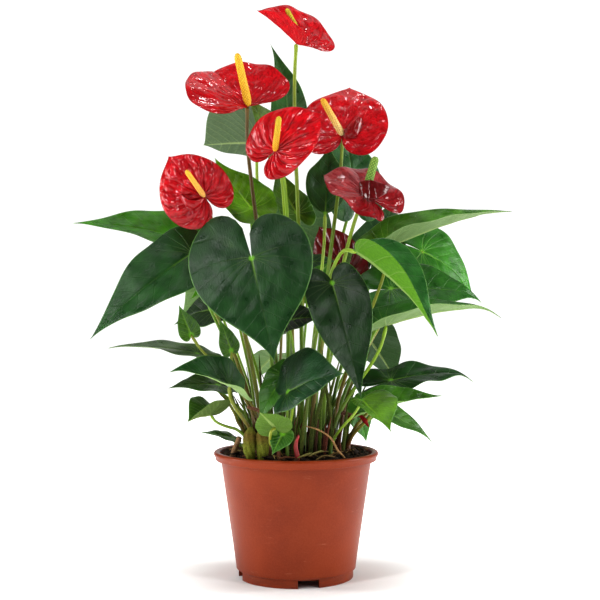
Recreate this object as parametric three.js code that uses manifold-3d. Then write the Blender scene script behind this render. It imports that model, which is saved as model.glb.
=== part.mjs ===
// Potted anthurium in a round nursery pot: pot, soil, leafy shoots and seven blooms.
// Millimetres, +Z up. The origin is on the floor, at the pot's axis. The front of the plant faces -Y.
import * as THREE from 'three';
import { mergeVertices } from 'three/addons/utils/BufferGeometryUtils.js';
import Module from 'manifold-3d';

const wasm = await Module();
wasm.setup();

// ---------------------------------------------------------------- driving dimensions

const GAP = 0.35;                 // clearance between pieces that touch
const STEM_GAP = 0.45;            // clearance round a stem in its hole
const DEGREE = Math.PI / 180;

const LIP_RADIUS = 60;            // outermost point of the rolled lip
const LIP_TOP = 91.5;             // height of the pot
const LIP_BOTTOM = 85.2;
const BODY_TOP_RADIUS = 54.7;
const BODY_BOTTOM_RADIUS = 43.4;
const FOOT_RADIUS = 41.8;
const FOOT_HEIGHT = 7;
const WALL = 1.6;
const POT_SEGMENTS = 36;
const NOTCH_WIDTH = 15.4;         // gaps in the foot ring
const NOTCH_HEIGHT = 5.7;
const NOTCH_TURN = 12.6;          // the first gap, in degrees to the right of the front
const NOTCH_COUNT = 4;
const DRAIN_RADIUS = 4;
const DRAIN_CIRCLE = 27;
const DRAIN_COUNT = 6;

const SOIL_EDGE_HEIGHT = 86.5;    // soil level at the wall
const SOIL_CROWN = 2.6;           // how much higher the soil lies at the middle
const SOIL_LUMP = 0.8;            // height of its lumps
const SOIL_MARGIN = 0.75;         // from the soil's corners to the pot's inner wall, both of flat faces
const SOIL_SEGMENTS = 24;
const SOIL_RINGS = 3;

const ROOT_DEPTH = 74;            // height at which the buried stem ends
const ROOT_NECK = 96;             // height up to which a stem rises straight out of the soil
const ROOT_LIMIT = 44;            // stems stand within this radius
const LOW_LEAF = 150;             // leaves below this height are low ones
const LOW_SPREAD = 0.8;           // how far out towards its blade the foot of a low leaf stands
const HIGH_SPREAD = 0.38;         // and the foot of a high one or of a bloom
const STEM_SIDES = 5;
const STEM_STEPS = 7;             // points along a stem above its neck
const STEM_BASE = 1.25;           // a stem's thickness at its base, against its nominal one
const STEM_TAPER = 0.35;          // and how much of that it loses on its way up
const STEM_HANDLE = 0.35;         // share of its rise over which it bends to meet the blade
const STEM_HANDLE_MAX = 45;
const STEM_LEAN = 0.12;           // how far it leans out at first, as a share of its reach
const STEM_RISE = 0.45;           // over this share of its height
const BRANCH_BASE = 0.7;          // the other stems of a shoot start thinner, inside the first
const BRANCH_DEPTH = 5;           // and this far below the neck
const PETIOLE = { end: 0.2, lean: 0.43 };   // thickness left at the top, pull towards the blade's normal
const STALK = { radius: 1.8, end: 0.7, lean: 0.65 };
const STALK_TILT = 0.5;           // more room under a spathe, for the slant of the stalk's end
const STEM_CLEARANCE = 2;         // room kept between two stems
const STEM_PUSH = 0.5;            // share of what is missing that one round makes up
const BLADE_CLEARANCE = 8;        // room between a stem and the points of a blade
const BLADE_PUSH = 0.15;
const SETTLE_ROUNDS = 60;         // rounds in which the stems are eased apart

const BLADE = 0.8;                // thickness of a leaf blade
const BIG_LEAF = 45;              // a leaf longer than this is a big one
const BIG_MESH = { spokes: 12, rings: 3, stem: 1.7 };
const SMALL_MESH = { spokes: 8, rings: 2, stem: 1.3 };
const HEART_SINUS = 0.97;         // the notch at the petiole takes up the rest of the half turn
const HEART_POINT = 0.09;         // sharpness of the tip
const SHORTEST_LOBE = 0.08;
const HEART_HALF = 0.56;          // half the width of a full heart, as a share of its length
const EDGE_WAVES = 7;             // half waves along each side of the edge
const SPOKE_CROWDING = 1.2;       // above 1 the spokes stand closer near the tip

const SPADIX_SIDES = 8;
const SPADIX_RINGS = 13;
const SPADIX_FOOT = 0.72;         // a spadix starts this thick, against its full thickness
const SPADIX_SHOULDER = 0.75;     // share of its length at which its rounded top starts
const SPADIX_TAPER = 0.25;        // and how much thinner it is there
const FLORET = 0.07;              // height of the florets, as a share of the spadix's radius

// Colours by age of the leaf.
const LEAF_COLOURS = { dark: 0x1f4f24, mid: 0x3a7a2c, young: 0x6fa62a, olive: 0x6d8a2b };
const POT_COLOUR = 0xa54b30;
const SOIL_COLOUR = 0x2a1d16;
const STALK_COLOUR = 0x7d9a2c;

// Each leaf: where the petiole meets the blade, the tip, the way that the upper face looks, the width
// against a full heart, and in degrees the droop along the midrib, the fold of the halves and the curl
// of their edges. Lobes is how round the outline is, recede shortens the lobes beside the petiole, tuck
// shortens one of them more, span below 1 opens the notch between them, skew widens one half at the
// cost of the other, and wave is the height of the edge's waves. Foot is where the stem stands in the
// soil, and arrive the way it comes up to the blade. Leaves of one shoot share the foot of the first.
const LEAVES = [
  { node: 'leaf_front_heart', age: 'dark', joint: [-30, -60, 230], tip: [-14, -76, 160],
    face: [-0.1, -1, 0.2], width: 0.98, recede: 0, droop: 20, fold: 4, curl: -14 },
  { node: 'leaf_left_dark', age: 'dark', joint: [-73, -34, 234], tip: [-142, -50, 174],
    face: [-0.1, -0.8, 0.6], width: 0.62, droop: 30, fold: 10, curl: -10, wave: 1.5 },
  { node: 'leaf_left_high', age: 'mid', joint: [-77, 22, 244], tip: [-162, -8, 257],
    face: [0.1, -0.6, 0.8], width: 0.6, recede: 0.4, droop: 25, fold: 8, curl: -10, wave: 1.5 },
  { node: 'leaf_upper_left', age: 'mid', joint: [-30, 52, 323], tip: [-74, 74, 324],
    face: [-0.1, 0.75, 0.65], width: 0.85, lobes: 0.8, recede: 0.7, skew: -0.5, droop: 20, fold: 6,
    curl: -8 },
  { node: 'shoot_high', age: 'olive', joint: [-34, 28, 271], tip: [-63, 44, 311],
    face: [0.35, -0.85, 0.4], width: 0.8, recede: 0.4, droop: -15, fold: 8, curl: 10 },
  { node: 'shoot_high', age: 'olive', joint: [0, 38, 268], tip: [-17, 52, 306],
    face: [0.5, -0.8, 0.3], width: 0.7, recede: 0.4, droop: -10, fold: 6, curl: 8 },
  { node: 'leaf_dark_centre', age: 'dark', joint: [22, 36, 267], tip: [26, 66, 325], arrive: [0, 0.3, 1],
    face: [0, -0.8, 0.5], width: 0.65, recede: 0.45, droop: -10, fold: 22, curl: 10 },
  { node: 'leaf_tall_right', age: 'mid', joint: [46, 76, 284], tip: [38, 94, 345],
    face: [0.3, -0.9, 0.3], width: 0.75, recede: 0.35, droop: 15, fold: 8, curl: -8 },
  { node: 'leaf_tall_back', age: 'dark', joint: [-8, 60, 338], tip: [-21, 74, 405],
    face: [0.3, -0.9, 0.2], width: 0.55, recede: 0.45, droop: -25, fold: 12, curl: 10 },
  { node: 'leaf_top_pale', age: 'mid', joint: [-14, 22, 313], tip: [-37, 14, 354], arrive: [-0.2, 0, 1],
    face: [0.5, -0.7, 0.4], width: 0.75, recede: 0.45, droop: 15, fold: 15, curl: 2 },
  { node: 'leaf_grey_right', age: 'dark', joint: [62, 76, 236], tip: [80, 94, 284],
    face: [-0.2, -0.9, 0.4], width: 0.8, droop: 10, fold: 6, curl: -8 },
  { node: 'leaf_right_round', age: 'mid', joint: [100, 72, 240], tip: [143, 92, 202],
    face: [0.3, -0.75, 0.6], width: 0.95, droop: 50, fold: 4, curl: -10 },
  { node: 'leaf_right_long', age: 'mid', joint: [68, 14, 241], tip: [162, 24, 270],
    face: [-0.2, -0.3, 1], width: 0.55, recede: 0.5, droop: 20, fold: 12, curl: -14, lobes: 0.45 },
  { node: 'leaf_front_folded', age: 'young', joint: [41, -66, 234], tip: [93, -98, 178], foot: [6, -22],
    arrive: [0.4, -0.8, -0.45],
    face: [0.68, -0.15, 0.73], width: 0.62, recede: 0.4, droop: 25, fold: 35, curl: 5, wave: 0.5 },
  { node: 'leaf_front_right', age: 'dark', joint: [25, -52, 213], tip: [44, -78, 135],
    face: [0.1, -1, 0.3], width: 0.58, recede: 1.1, droop: 20, fold: 18, curl: -5 },
  { node: 'leaf_right_mid', age: 'mid', joint: [72, 34, 210], tip: [146, 44, 204],
    face: [0.1, -0.75, 0.7], width: 0.68, recede: 0.4, droop: 25, fold: 10, curl: -8, wave: 1.5 },
  { node: 'leaf_right_low_long', age: 'mid', joint: [65, -14, 183], tip: [152, 6, 195],
    face: [-0.15, -0.15, 1], width: 0.55, recede: 0.4, droop: 25, fold: 14, curl: 8, lobes: 0.5 },
  { node: 'shoot_right', age: 'mid', joint: [70, 6, 142], tip: [135, 26, 144], foot: [38, -6],
    face: [-0.1, -0.45, 0.9], width: 0.5, droop: 25, fold: 12, curl: -10, wave: 2.5 },
  { node: 'shoot_right', age: 'mid', joint: [56, -20, 124], tip: [106, -12, 132],
    face: [-0.1, -0.5, 0.9], width: 0.55, droop: 20, fold: 10, curl: -8 },
  { node: 'leaf_front_young_right', age: 'young', joint: [45, -58, 133], tip: [63, -86, 114],
    face: [0.4, -0.9, 0.4], width: 0.75, droop: 25, fold: 10, curl: -8 },
  { node: 'shoot_right_rim', age: 'mid', joint: [62, 22, 119], tip: [103, 30, 94],
    face: [0.4, -0.5, 0.8], width: 0.5, recede: 0.4, droop: 30, fold: 12, curl: -8, wave: 0.5 },
  { node: 'shoot_right_rim', age: 'mid', joint: [46, 36, 120], tip: [54, 46, 92],
    face: [0.4, -0.9, 0.3], width: 0.7, recede: 0.4, droop: 15, fold: 10, curl: -8, wave: 0.5 },
  { node: 'shoot_front_low', age: 'dark', joint: [-5, -62, 139], tip: [32, -82, 153], foot: [-6, -38],
    face: [0.1, -0.75, 0.65], width: 0.95, recede: 0.5, skew: -0.3, droop: 30, fold: 10, curl: -12,
    lobes: 0.66 },
  { node: 'shoot_front_low', age: 'olive', joint: [-9, -44, 149], tip: [-26, -54, 116],
    face: [-0.5, -0.8, 0.3], width: 0.6, recede: 0.4, droop: 15, fold: 12, curl: -6 },
  { node: 'shoot_front', age: 'olive', joint: [-14, -66, 115], tip: [-24, -79, 127], foot: [-12, -42],
    face: [0.2, 0.8, 0.4], width: 1.2, droop: 15, fold: 6, curl: -6, wave: 0.5 },
  { node: 'shoot_front', age: 'mid', joint: [-9, -60, 110], tip: [-16, -68, 97],
    face: [0, -0.9, 0.4], width: 0.9, droop: 15, fold: 8, curl: -8, wave: 0.5 },
  { node: 'leaf_left_long', age: 'mid', joint: [-72, -2, 162], tip: [-137, -4, 168],
    face: [0.1, -0.2, 1], width: 0.6, recede: 0.4, droop: 20, fold: 10, curl: -8, lobes: 0.48 },
  { node: 'leaf_left_low', age: 'dark', joint: [-46, -48, 142], tip: [-84, -70, 157],
    face: [0.3, -0.45, 0.9], width: 0.85, recede: 0.35, droop: 25, fold: 8, curl: -10 },
  { node: 'leaf_left_lower', age: 'dark', joint: [-56, -16, 140], tip: [-90, -34, 139],
    face: [0, -0.35, 0.9], width: 0.8, recede: 0.35, droop: 20, fold: 8, curl: -8 },
  { node: 'shoot_left', age: 'mid', joint: [-61, -18, 119], tip: [-76, -38, 116],
    face: [-0.2, -0.3, 0.9], width: 1, droop: 25, fold: 14, curl: -5, wave: 0.5 },
  { node: 'shoot_left', age: 'mid', joint: [-46, -8, 101], tip: [-68, -16, 107],
    face: [0, -0.3, 0.95], width: 0.7, droop: 20, fold: 8, curl: -8, wave: 0.5 },
  { node: 'shoot_left_mid', age: 'young', joint: [-74, -32, 177], tip: [-82, -36, 198], foot: [-22, -27],
    face: [0.1, -0.9, 0.3], width: 0.9, droop: -10, fold: 8, curl: 8, wave: 0.5 },
  { node: 'shoot_left_mid', age: 'young', joint: [-46, -32, 166], tip: [-54, -36, 189],
    face: [0.4, -0.8, 0.2], width: 0.7, droop: 10, fold: 8, curl: -6, wave: 0.5 },
  { node: 'shoot_left_rear', age: 'dark', joint: [-60, 46, 196], tip: [-96, 66, 182], foot: [-28, 2],
    face: [-0.1, -0.7, 0.7], width: 0.85, recede: 0.35, droop: 25, fold: 8, curl: -8 },
  { node: 'shoot_left_rear', age: 'young', joint: [-50, 0, 223], tip: [-76, -14, 202],
    face: [-0.4, -0.8, 0.4], width: 0.7, recede: 0.4, droop: 15, fold: 8, curl: -8 },
  { node: 'leaf_centre_dark', age: 'dark', joint: [-6, -38, 187], tip: [20, -52, 190],
    face: [0, -0.75, 0.65], width: 0.8, recede: 0.35, droop: 20, fold: 8, curl: -8 },
  { node: 'shoot_centre', age: 'dark', joint: [4, 50, 229], tip: [32, 40, 231],
    face: [0, -0.6, 0.8], width: 0.8, recede: 0.35, droop: 20, fold: 8, curl: -8 },
  { node: 'shoot_centre', age: 'young', joint: [6, 52, 212], tip: [29, 46, 233],
    face: [0.2, 0.9, 0.3], width: 0.8, droop: 10, fold: 6, curl: -6 },
  { node: 'leaf_back_high', age: 'dark', joint: [-4, 80, 262], tip: [6, 95, 200],
    face: [0.1, 0.9, 0.4], width: 0.9, droop: 25, fold: 6, curl: -10 },
  { node: 'shoot_back', age: 'mid', joint: [-54, 74, 218], tip: [-94, 92, 184],
    face: [-0.4, 0.6, 0.7], width: 0.9, droop: 30, fold: 8, curl: -8, wave: 1.5 },
  { node: 'shoot_back', age: 'mid', joint: [-20, 70, 156], tip: [-36, 94, 134],
    face: [-0.2, 0.5, 0.8], width: 0.9, droop: 25, fold: 8, curl: -8 },
  { node: 'leaf_back_right', age: 'dark', joint: [54, 77, 175], tip: [82, 94, 133],
    face: [0.4, 0.7, 0.5], width: 0.9, recede: 0.35, droop: 25, fold: 8, curl: -8, wave: 1.5 },
];
const LEAF_SHAPE = { lobes: 0.56, recede: 0.25, tuck: 0, span: 1, skew: 0, wave: 1, ribs: 0 };

// Each bloom: the stalk's end, the spathe's shape as for a leaf, and the spadix as a vector from its
// base to its tip, with its radius. Lift is the room under the spadix, more in a folded spathe.
const BLOOMS = [
  { joint: [1, 20, 393], tip: [-29, 16, 417], face: [0.6, 0.07, 0.8], width: 0.82, lobes: 0.85,
    recede: -0.35, tuck: 1.3, span: 0.78, skew: 0.4, droop: 12, fold: 54, curl: -6, hue: 'crimson',
    foot: [6, 13], arrive: [0.1, -0.1, 1], lift: 4.8, spadix: [-12, -4, 22], radius: 2.1, spike: 'ripe' },
  { joint: [-35, -12, 341], tip: [-61, 14, 371], face: [0.05, -0.6, 0.8], width: 0.98, lobes: 1,
    recede: 0.15, span: 0.62, skew: -0.06, droop: 14, fold: 22, curl: -10, hue: 'crimson', lift: 2.4,
    spadix: [-7, -20, 32], radius: 3, spike: 'ripe' },
  { joint: [-14, -34, 307], tip: [19, -28, 334], face: [-0.1, -1, 0.3], width: 0.75, recede: 0.45,
    skew: -0.14, droop: 35, fold: 4, curl: -14, hue: 'crimson', spadix: [3, -14, 21], radius: 2.3,
    spike: 'ripe' },
  { joint: [34, 8, 323], tip: [41, 46, 365], face: [-0.1, -0.8, 0.5], width: 0.86, recede: 0.8,
    droop: 25, fold: 4, curl: -10, hue: 'crimson', spadix: [-15, -18, 23], radius: 2.6, spike: 'ripe' },
  { joint: [-64, -42, 274], tip: [-90, -30, 303], face: [-0.3, -0.9, 0.4], width: 0.86, recede: 0.5,
    skew: -0.12, droop: 30, fold: 4, curl: -14, hue: 'crimson', spadix: [-11, -14, 16], radius: 2,
    spike: 'ripe' },
  { joint: [49, -16, 277], tip: [20, -8, 292], face: [-0.2, -0.42, 0.88], width: 0.95, lobes: 0.9,
    recede: -0.3, tuck: 0.35, skew: 0.2, droop: 20, fold: 8, curl: -10, wave: 2, hue: 'maroon',
    lift: 2, spadix: [7, -5, 25], radius: 3.2, spike: 'green' },
  { joint: [38, 60, 224], tip: [18, 74, 260], face: [-0.4, -0.8, 0.3], width: 0.65, recede: 0.5,
    droop: 15, fold: 10, curl: -10, wave: 2, hue: 'maroon', lift: 1.9, spadix: [4, -14, 15],
    radius: 2.6, spike: 'green' },
];
const SPATHE_SHAPE = { lobes: 0.8, recede: 0.5, tuck: 0, span: 1, skew: 0, wave: 1, ribs: 0.7, lift: 1.3 };
const SPATHE = { spokes: 14, rings: 3, thickness: 1.1 };
const SPATHE_COLOURS = { crimson: 0xc8102a, maroon: 0x84202c };
const SPADIX_COLOURS = { ripe: 0xe8b53a, green: 0x5e8a22 };

// Smaller pieces that stand in the soil, each a tube along a few points with its radii.
const REMNANTS = [
  { node: 'young_sheath', colour: 0x7d7434, sides: 7, radii: [3, 3.4, 5, 6, 5.4, 3.4, 0.8],
    path: [[-27, -41, 78], [-27, -41, 88], [-27, -41, 93], [-27, -42, 99], [-28, -42, 105],
      [-28, -42, 110], [-29, -42, 114]] },
  { node: 'dried_petiole', colour: 0x7a5238, sides: 5, radii: [1.6, 1.6, 1.4, 1.3, 1.1],
    path: [[-19, -37, 76], [-19, -37, 98], [-20, -40, 114], [-25, -45, 124], [-33, -51, 128]] },
  { node: 'aerial_root', colour: 0xb08a5c, sides: 5, radii: [1, 1, 0.9, 0.9, 0.8, 0.6],
    path: [[34, -37, 78], [34, -37, 90], [29, -42, 97], [24, -45, 106], [15, -47, 112], [7, -45, 114]] },
  { node: 'red_sheath', colour: 0xa8323a, sides: 5, radii: [1.7, 1.7, 1.5, 0.7],
    path: [[1, -46, 78], [1, -46, 92], [0, -47, 101], [2, -48, 108]] },
];

// ---------------------------------------------------------------- solids and booleans

function positionsOnly(geometry) {
  const bare = geometry.clone();
  bare.deleteAttribute('normal');
  bare.deleteAttribute('uv');
  return mergeVertices(bare, 1e-4);
}

function toSolid(geometry) {
  const bare = positionsOnly(geometry);
  const mesh = new wasm.Mesh({
    numProp: 3,
    vertProperties: new Float32Array(bare.attributes.position.array),
    triVerts: new Uint32Array(bare.index.array),
  });
  return new wasm.Manifold(mesh);
}

function toGeometry(solid) {
  const mesh = solid.getMesh();
  const geometry = new THREE.BufferGeometry();
  geometry.setAttribute('position', new THREE.BufferAttribute(new Float32Array(mesh.vertProperties), 3));
  geometry.setIndex(new THREE.BufferAttribute(new Uint32Array(mesh.triVerts), 1));
  geometry.computeVertexNormals();
  return geometry;
}

function meshOf(points, triangles) {
  const geometry = new THREE.BufferGeometry();
  const flat = points.flatMap((p) => [p.x, p.y, p.z]);
  geometry.setAttribute('position', new THREE.Float32BufferAttribute(flat, 3));
  geometry.setIndex(triangles);
  geometry.computeVertexNormals();
  return geometry;
}

const vector = (list) => new THREE.Vector3(...list);

// ---------------------------------------------------------------- heart-shaped blades

// Distance from the petiole to the edge of a heart whose midrib is 1 long. The angle is a share of a
// half turn: 0 at the tip, 1 at the notch.
function heartRadius(share, lobes, recede) {
  const lobe = lobes * Math.max(1 - recede * share * share, SHORTEST_LOBE) * Math.sqrt(1 - share ** 8);
  const point = (1 - lobes) * Math.exp(-((share / HEART_POINT) ** 0.75));
  return lobe + point;
}

// The bent surface of a blade: a function from an angle (-1 to 1, 0 at the tip) and a share of the
// distance to the edge to a point and the upward normal there.
function bladeSurface(leaf) {
  const joint = vector(leaf.joint);
  const chord = vector(leaf.tip).sub(joint);
  const along = chord.clone().normalize();
  const face = vector(leaf.face);
  const up = face.addScaledVector(along, -face.dot(along)).normalize();
  const side = new THREE.Vector3().crossVectors(along, up);
  const droop = leaf.droop * DEGREE;
  const length = chord.length() * (droop / 2) / Math.sin(droop / 2);
  const halfWidth = HEART_HALF * length * leaf.width;
  const fold = leaf.fold * DEGREE;
  const curl = leaf.curl * DEGREE;
  return (angle, reach) => {
    const share = Math.abs(angle);
    const recede = leaf.recede + (angle < 0 ? leaf.tuck : 0);
    const r = length * heartRadius(share, leaf.lobes, recede) * reach;
    const a = r * Math.cos(share * leaf.span * Math.PI);
    const width = leaf.width * (1 + leaf.skew * Math.sign(angle));
    const b = r * Math.sin(share * leaf.span * Math.PI) * width;
    const tilt = droop / 2 - droop * a / length;
    const x = length / droop * (Math.sin(droop / 2) - Math.sin(tilt));
    const z = length / droop * (Math.cos(tilt) - Math.cos(droop / 2));
    const across = fold + curl * b / halfWidth;
    const out = halfWidth / curl * (Math.sin(across) - Math.sin(fold));
    const ripple = leaf.wave * reach * reach * Math.sin(EDGE_WAVES * share * Math.PI + leaf.joint[0]);
    const rib = leaf.ribs * reach * Math.cos(SPATHE.spokes * Math.PI / 2 * spokeNumber(angle));
    const bend = halfWidth / curl * (Math.cos(fold) - Math.cos(across));
    const rise = bend + (ripple + rib) * Math.sin(share * Math.PI);
    const above = up.clone().multiplyScalar(Math.cos(tilt)).addScaledVector(along, -Math.sin(tilt));
    const left = side.clone().multiplyScalar(Math.sign(angle));
    const point = joint.clone().addScaledVector(along, x).addScaledVector(up, z);
    point.addScaledVector(left, out).addScaledVector(above, rise);
    const slope = angle === 0 ? 0 : across;
    const normal = above.clone().multiplyScalar(Math.cos(slope)).addScaledVector(left, -Math.sin(slope));
    return { point, normal };
  };
}

// Spokes run from the notch on one side (-1) round the tip (0) to the other (1), closer near the tip.
const spokeAngle = (even) => Math.sign(even) * HEART_SINUS * Math.abs(even) ** SPOKE_CROWDING;
const spokeNumber = (angle) => Math.sign(angle) * (Math.abs(angle) / HEART_SINUS) ** (1 / SPOKE_CROWDING);

// A thin closed blade: a fan of spokes and rings on each face, split into the same triangles.
function bladeGeometry(leaf, spokes, rings, thickness) {
  const surface = bladeSurface(leaf);
  const angles = Array.from({ length: spokes + 1 }, (_, i) => spokeAngle(2 * i / spokes - 1));
  const points = [];
  const triangles = [];
  const layerSize = 1 + (spokes + 1) * rings;
  for (const offset of [thickness / 2, -thickness / 2]) {
    const centre = surface(0, 0);
    points.push(centre.point.addScaledVector(centre.normal, offset));
    for (const angle of angles) {
      for (let ring = 1; ring <= rings; ring += 1) {
        const spot = surface(angle, ring / rings);
        points.push(spot.point.addScaledVector(spot.normal, offset));
      }
    }
  }
  const at = (layer, spoke, ring) => layer * layerSize + (ring === 0 ? 0 : 1 + spoke * rings + ring - 1);
  const add = (layer, a, b, c) => triangles.push(...(layer === 0 ? [a, b, c] : [a, c, b]));
  for (const layer of [0, 1]) {
    for (let spoke = 0; spoke < spokes; spoke += 1) {
      add(layer, at(layer, spoke, 0), at(layer, spoke + 1, 1), at(layer, spoke, 1));
      for (let ring = 1; ring < rings; ring += 1) {
        const inner = [at(layer, spoke, ring), at(layer, spoke + 1, ring)];
        const outer = [at(layer, spoke, ring + 1), at(layer, spoke + 1, ring + 1)];
        add(layer, inner[0], outer[1], outer[0]);
        add(layer, inner[0], inner[1], outer[1]);
      }
    }
  }
  const rim = [[0, 0]];
  for (let ring = 1; ring < rings; ring += 1) rim.push([0, ring]);
  for (let spoke = 0; spoke <= spokes; spoke += 1) rim.push([spoke, rings]);
  for (let ring = rings - 1; ring > 0; ring -= 1) rim.push([spokes, ring]);
  rim.forEach((here, index) => {
    const next = rim[(index + 1) % rim.length];
    const top = [at(0, ...here), at(0, ...next)];
    const bottom = [at(1, ...here), at(1, ...next)];
    triangles.push(top[0], top[1], bottom[0], top[1], bottom[1], bottom[0]);
  });
  return meshOf(points, triangles);
}

// ---------------------------------------------------------------- stems

// A tube along points, with a radius at each of them and flat ends.
function tubeGeometry(path, radii, sides) {
  const points = [];
  const triangles = [];
  const first = path[1].clone().sub(path[0]).normalize();
  let across = new THREE.Vector3(1, 0, 0).addScaledVector(first, -first.x).normalize();
  path.forEach((centre, i) => {
    const before = path[Math.max(i - 1, 0)];
    const after = path[Math.min(i + 1, path.length - 1)];
    const ahead = after.clone().sub(before).normalize();
    across = across.clone().addScaledVector(ahead, -across.dot(ahead)).normalize();
    const other = new THREE.Vector3().crossVectors(ahead, across);
    for (let k = 0; k < sides; k += 1) {
      const turn = 2 * Math.PI * k / sides;
      const spoke = across.clone().multiplyScalar(Math.cos(turn)).addScaledVector(other, Math.sin(turn));
      const reach = Array.isArray(radii[i]) ? radii[i][k] : radii[i];
      points.push(centre.clone().addScaledVector(spoke, reach));
    }
  });
  const rings = path.length;
  for (let i = 0; i < rings - 1; i += 1) {
    for (let k = 0; k < sides; k += 1) {
      const a = i * sides + k;
      const b = i * sides + (k + 1) % sides;
      triangles.push(a, b, a + sides, b, b + sides, a + sides);
    }
  }
  const last = (rings - 1) * sides;
  for (let k = 1; k < sides - 1; k += 1) {
    triangles.push(0, k + 1, k, last, last + k, last + k + 1);
  }
  return meshOf(points, triangles);
}

function bezierPoint(p, t) {
  const s = 1 - t;
  return p[0].clone().multiplyScalar(s * s * s).addScaledVector(p[1], 3 * s * s * t)
    .addScaledVector(p[2], 3 * s * t * t).addScaledVector(p[3], t * t * t);
}

// The first course of a stem: straight out of the soil, then one bend up to the joint, which it meets
// from the blade's lower side.
function stemCourse(piece, foot, overshoot, lean) {
  const { normal } = bladeSurface(piece)(0, 0);
  const end = vector(piece.joint).addScaledVector(normal, overshoot);
  const neck = new THREE.Vector3(foot.x, foot.y, ROOT_NECK);
  const rise = end.clone().sub(neck);
  const arrival = rise.clone().normalize().multiplyScalar(1 - lean).addScaledVector(normal, lean);
  if (piece.arrive) arrival.set(...piece.arrive);
  arrival.normalize();
  const handle = Math.min(STEM_HANDLE * rise.length(), STEM_HANDLE_MAX);
  const firstBend = rise.clone().multiply(new THREE.Vector3(STEM_LEAN, STEM_LEAN, STEM_RISE));
  const second = neck.clone().add(firstBend);
  const third = end.clone().addScaledVector(arrival, -handle);
  const path = [new THREE.Vector3(foot.x, foot.y, ROOT_DEPTH)];
  for (let i = 0; i < STEM_STEPS; i += 1) {
    path.push(bezierPoint([neck, second, third, end], i / (STEM_STEPS - 1)));
  }
  return path;
}

// The point of a path that lies nearest to a given point.
function nearestOn(path, point) {
  const best = { distance: Infinity, spot: null };
  for (let i = 0; i < path.length - 1; i += 1) {
    const span = path[i + 1].clone().sub(path[i]);
    const t = point.clone().sub(path[i]).dot(span) / span.lengthSq();
    const spot = path[i].clone().addScaledVector(span, Math.min(1, Math.max(0, t)));
    const distance = spot.distanceTo(point);
    if (distance < best.distance) Object.assign(best, { distance, spot });
  }
  return best;
}

// Points spread over a blade, which stems keep clear of.
function bladeSpots(piece) {
  const surface = bladeSurface(piece);
  const spots = [];
  for (let i = -8; i <= 8; i += 1) {
    for (const reach of [0.3, 0.55, 0.8, 1]) {
      spots.push(surface(i / 8 * HEART_SINUS, reach).point);
    }
  }
  return spots;
}

// Eases the stems apart, and clear of the blades, where they would touch. A stem's end stays.
function settle(stems) {
  const blades = stems.map((stem) => bladeSpots(stem.piece));
  for (let round = 0; round < SETTLE_ROUNDS; round += 1) {
    const pushes = stems.map((stem) => stem.path.map(() => new THREE.Vector3()));
    stems.forEach((stem, a) => {
      const last = stem.path.length - 1;
      for (let i = 1; i < last; i += 1) {
        const point = stem.path[i];
        stems.forEach((other, b) => {
          if (a === b) return;
          if (stem.node !== other.node) {
            const { distance, spot } = nearestOn(other.path, point);
            const room = stem.radius + other.radius + STEM_CLEARANCE;
            if (distance < room) {
              const away = point.clone().sub(spot).setLength(STEM_PUSH * (room - distance));
              pushes[a][i].add(away);
            }
          }
          for (const spot of blades[b]) {
            const distance = spot.distanceTo(point);
            if (distance < BLADE_CLEARANCE) {
              const away = point.clone().sub(spot).setLength(BLADE_PUSH * (BLADE_CLEARANCE - distance));
              pushes[a][i].add(away);
            }
          }
        });
      }
    });
    stems.forEach((stem, a) => {
      const last = stem.path.length - 1;
      for (let i = 1; i < last; i += 1) {
        const even = pushes[a][i - 1].clone().add(pushes[a][i + 1]).multiplyScalar(0.25);
        const push = even.addScaledVector(pushes[a][i], 0.5);
        if (i === 1) push.z = 0;
        stem.path[i].add(push);
      }
      const neck = stem.path[1];
      const shared = stems.find((other) => other.node === stem.node).path[1];
      neck.set(shared.x, shared.y, neck.z);
      const reach = Math.hypot(neck.x, neck.y);
      if (reach > ROOT_LIMIT) {
        neck.x *= ROOT_LIMIT / reach;
        neck.y *= ROOT_LIMIT / reach;
      }
      stem.path[0].x = neck.x;
      stem.path[0].y = neck.y;
    });
  }
}

// The first points of a stem, or all of them, as a tube that is thicker by an extra.
function stemSolid(stem, extra = 0, count = stem.path.length) {
  const last = stem.path.length - 1;
  const sunk = (i) => (stem.branch && i < 2 ? BRANCH_BASE : 1);
  const thickness = (i) => (i === last ? stem.end : (STEM_BASE - STEM_TAPER * i / last) * sunk(i));
  const path = stem.path.slice(0, count);
  const radii = path.map((_, i) => stem.radius * thickness(i) + extra);
  return toSolid(tubeGeometry(path, radii, STEM_SIDES));
}

// Low leaves stand at the outside of the clump, high ones inside.
function footOf(piece) {
  if (piece.foot) return { x: piece.foot[0], y: piece.foot[1] };
  const [x, y, z] = piece.joint;
  const spread = z < LOW_LEAF ? LOW_SPREAD : HIGH_SPREAD;
  const reach = Math.min(spread, (ROOT_LIMIT - 4) / Math.hypot(x, y));
  return { x: reach * x, y: reach * y };
}

function meshSize(leaf) {
  return vector(leaf.tip).distanceTo(vector(leaf.joint)) > BIG_LEAF ? BIG_MESH : SMALL_MESH;
}

function plantStems() {
  const feet = {};
  const stems = [];
  LEAVES.forEach((row) => {
    const leaf = { ...LEAF_SHAPE, ...row };
    const branch = leaf.node in feet;
    feet[leaf.node] ||= footOf(leaf);
    const path = stemCourse(leaf, feet[leaf.node], 0, PETIOLE.lean);
    if (branch) path[0].z = ROOT_NECK - BRANCH_DEPTH;
    stems.push({ node: leaf.node, piece: leaf, branch, radius: meshSize(leaf).stem, end: PETIOLE.end, path });
  });
  BLOOMS.forEach((row, index) => {
    const bloom = { ...SPATHE_SHAPE, ...row };
    const stop = -(SPATHE.thickness / 2 + GAP + STALK_TILT);
    stems.push({ node: `stalk_${index + 1}`, piece: bloom, radius: STALK.radius, end: STALK.end,
      path: stemCourse(bloom, footOf(bloom), stop, STALK.lean) });
  });
  settle(stems);
  return stems;
}

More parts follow.
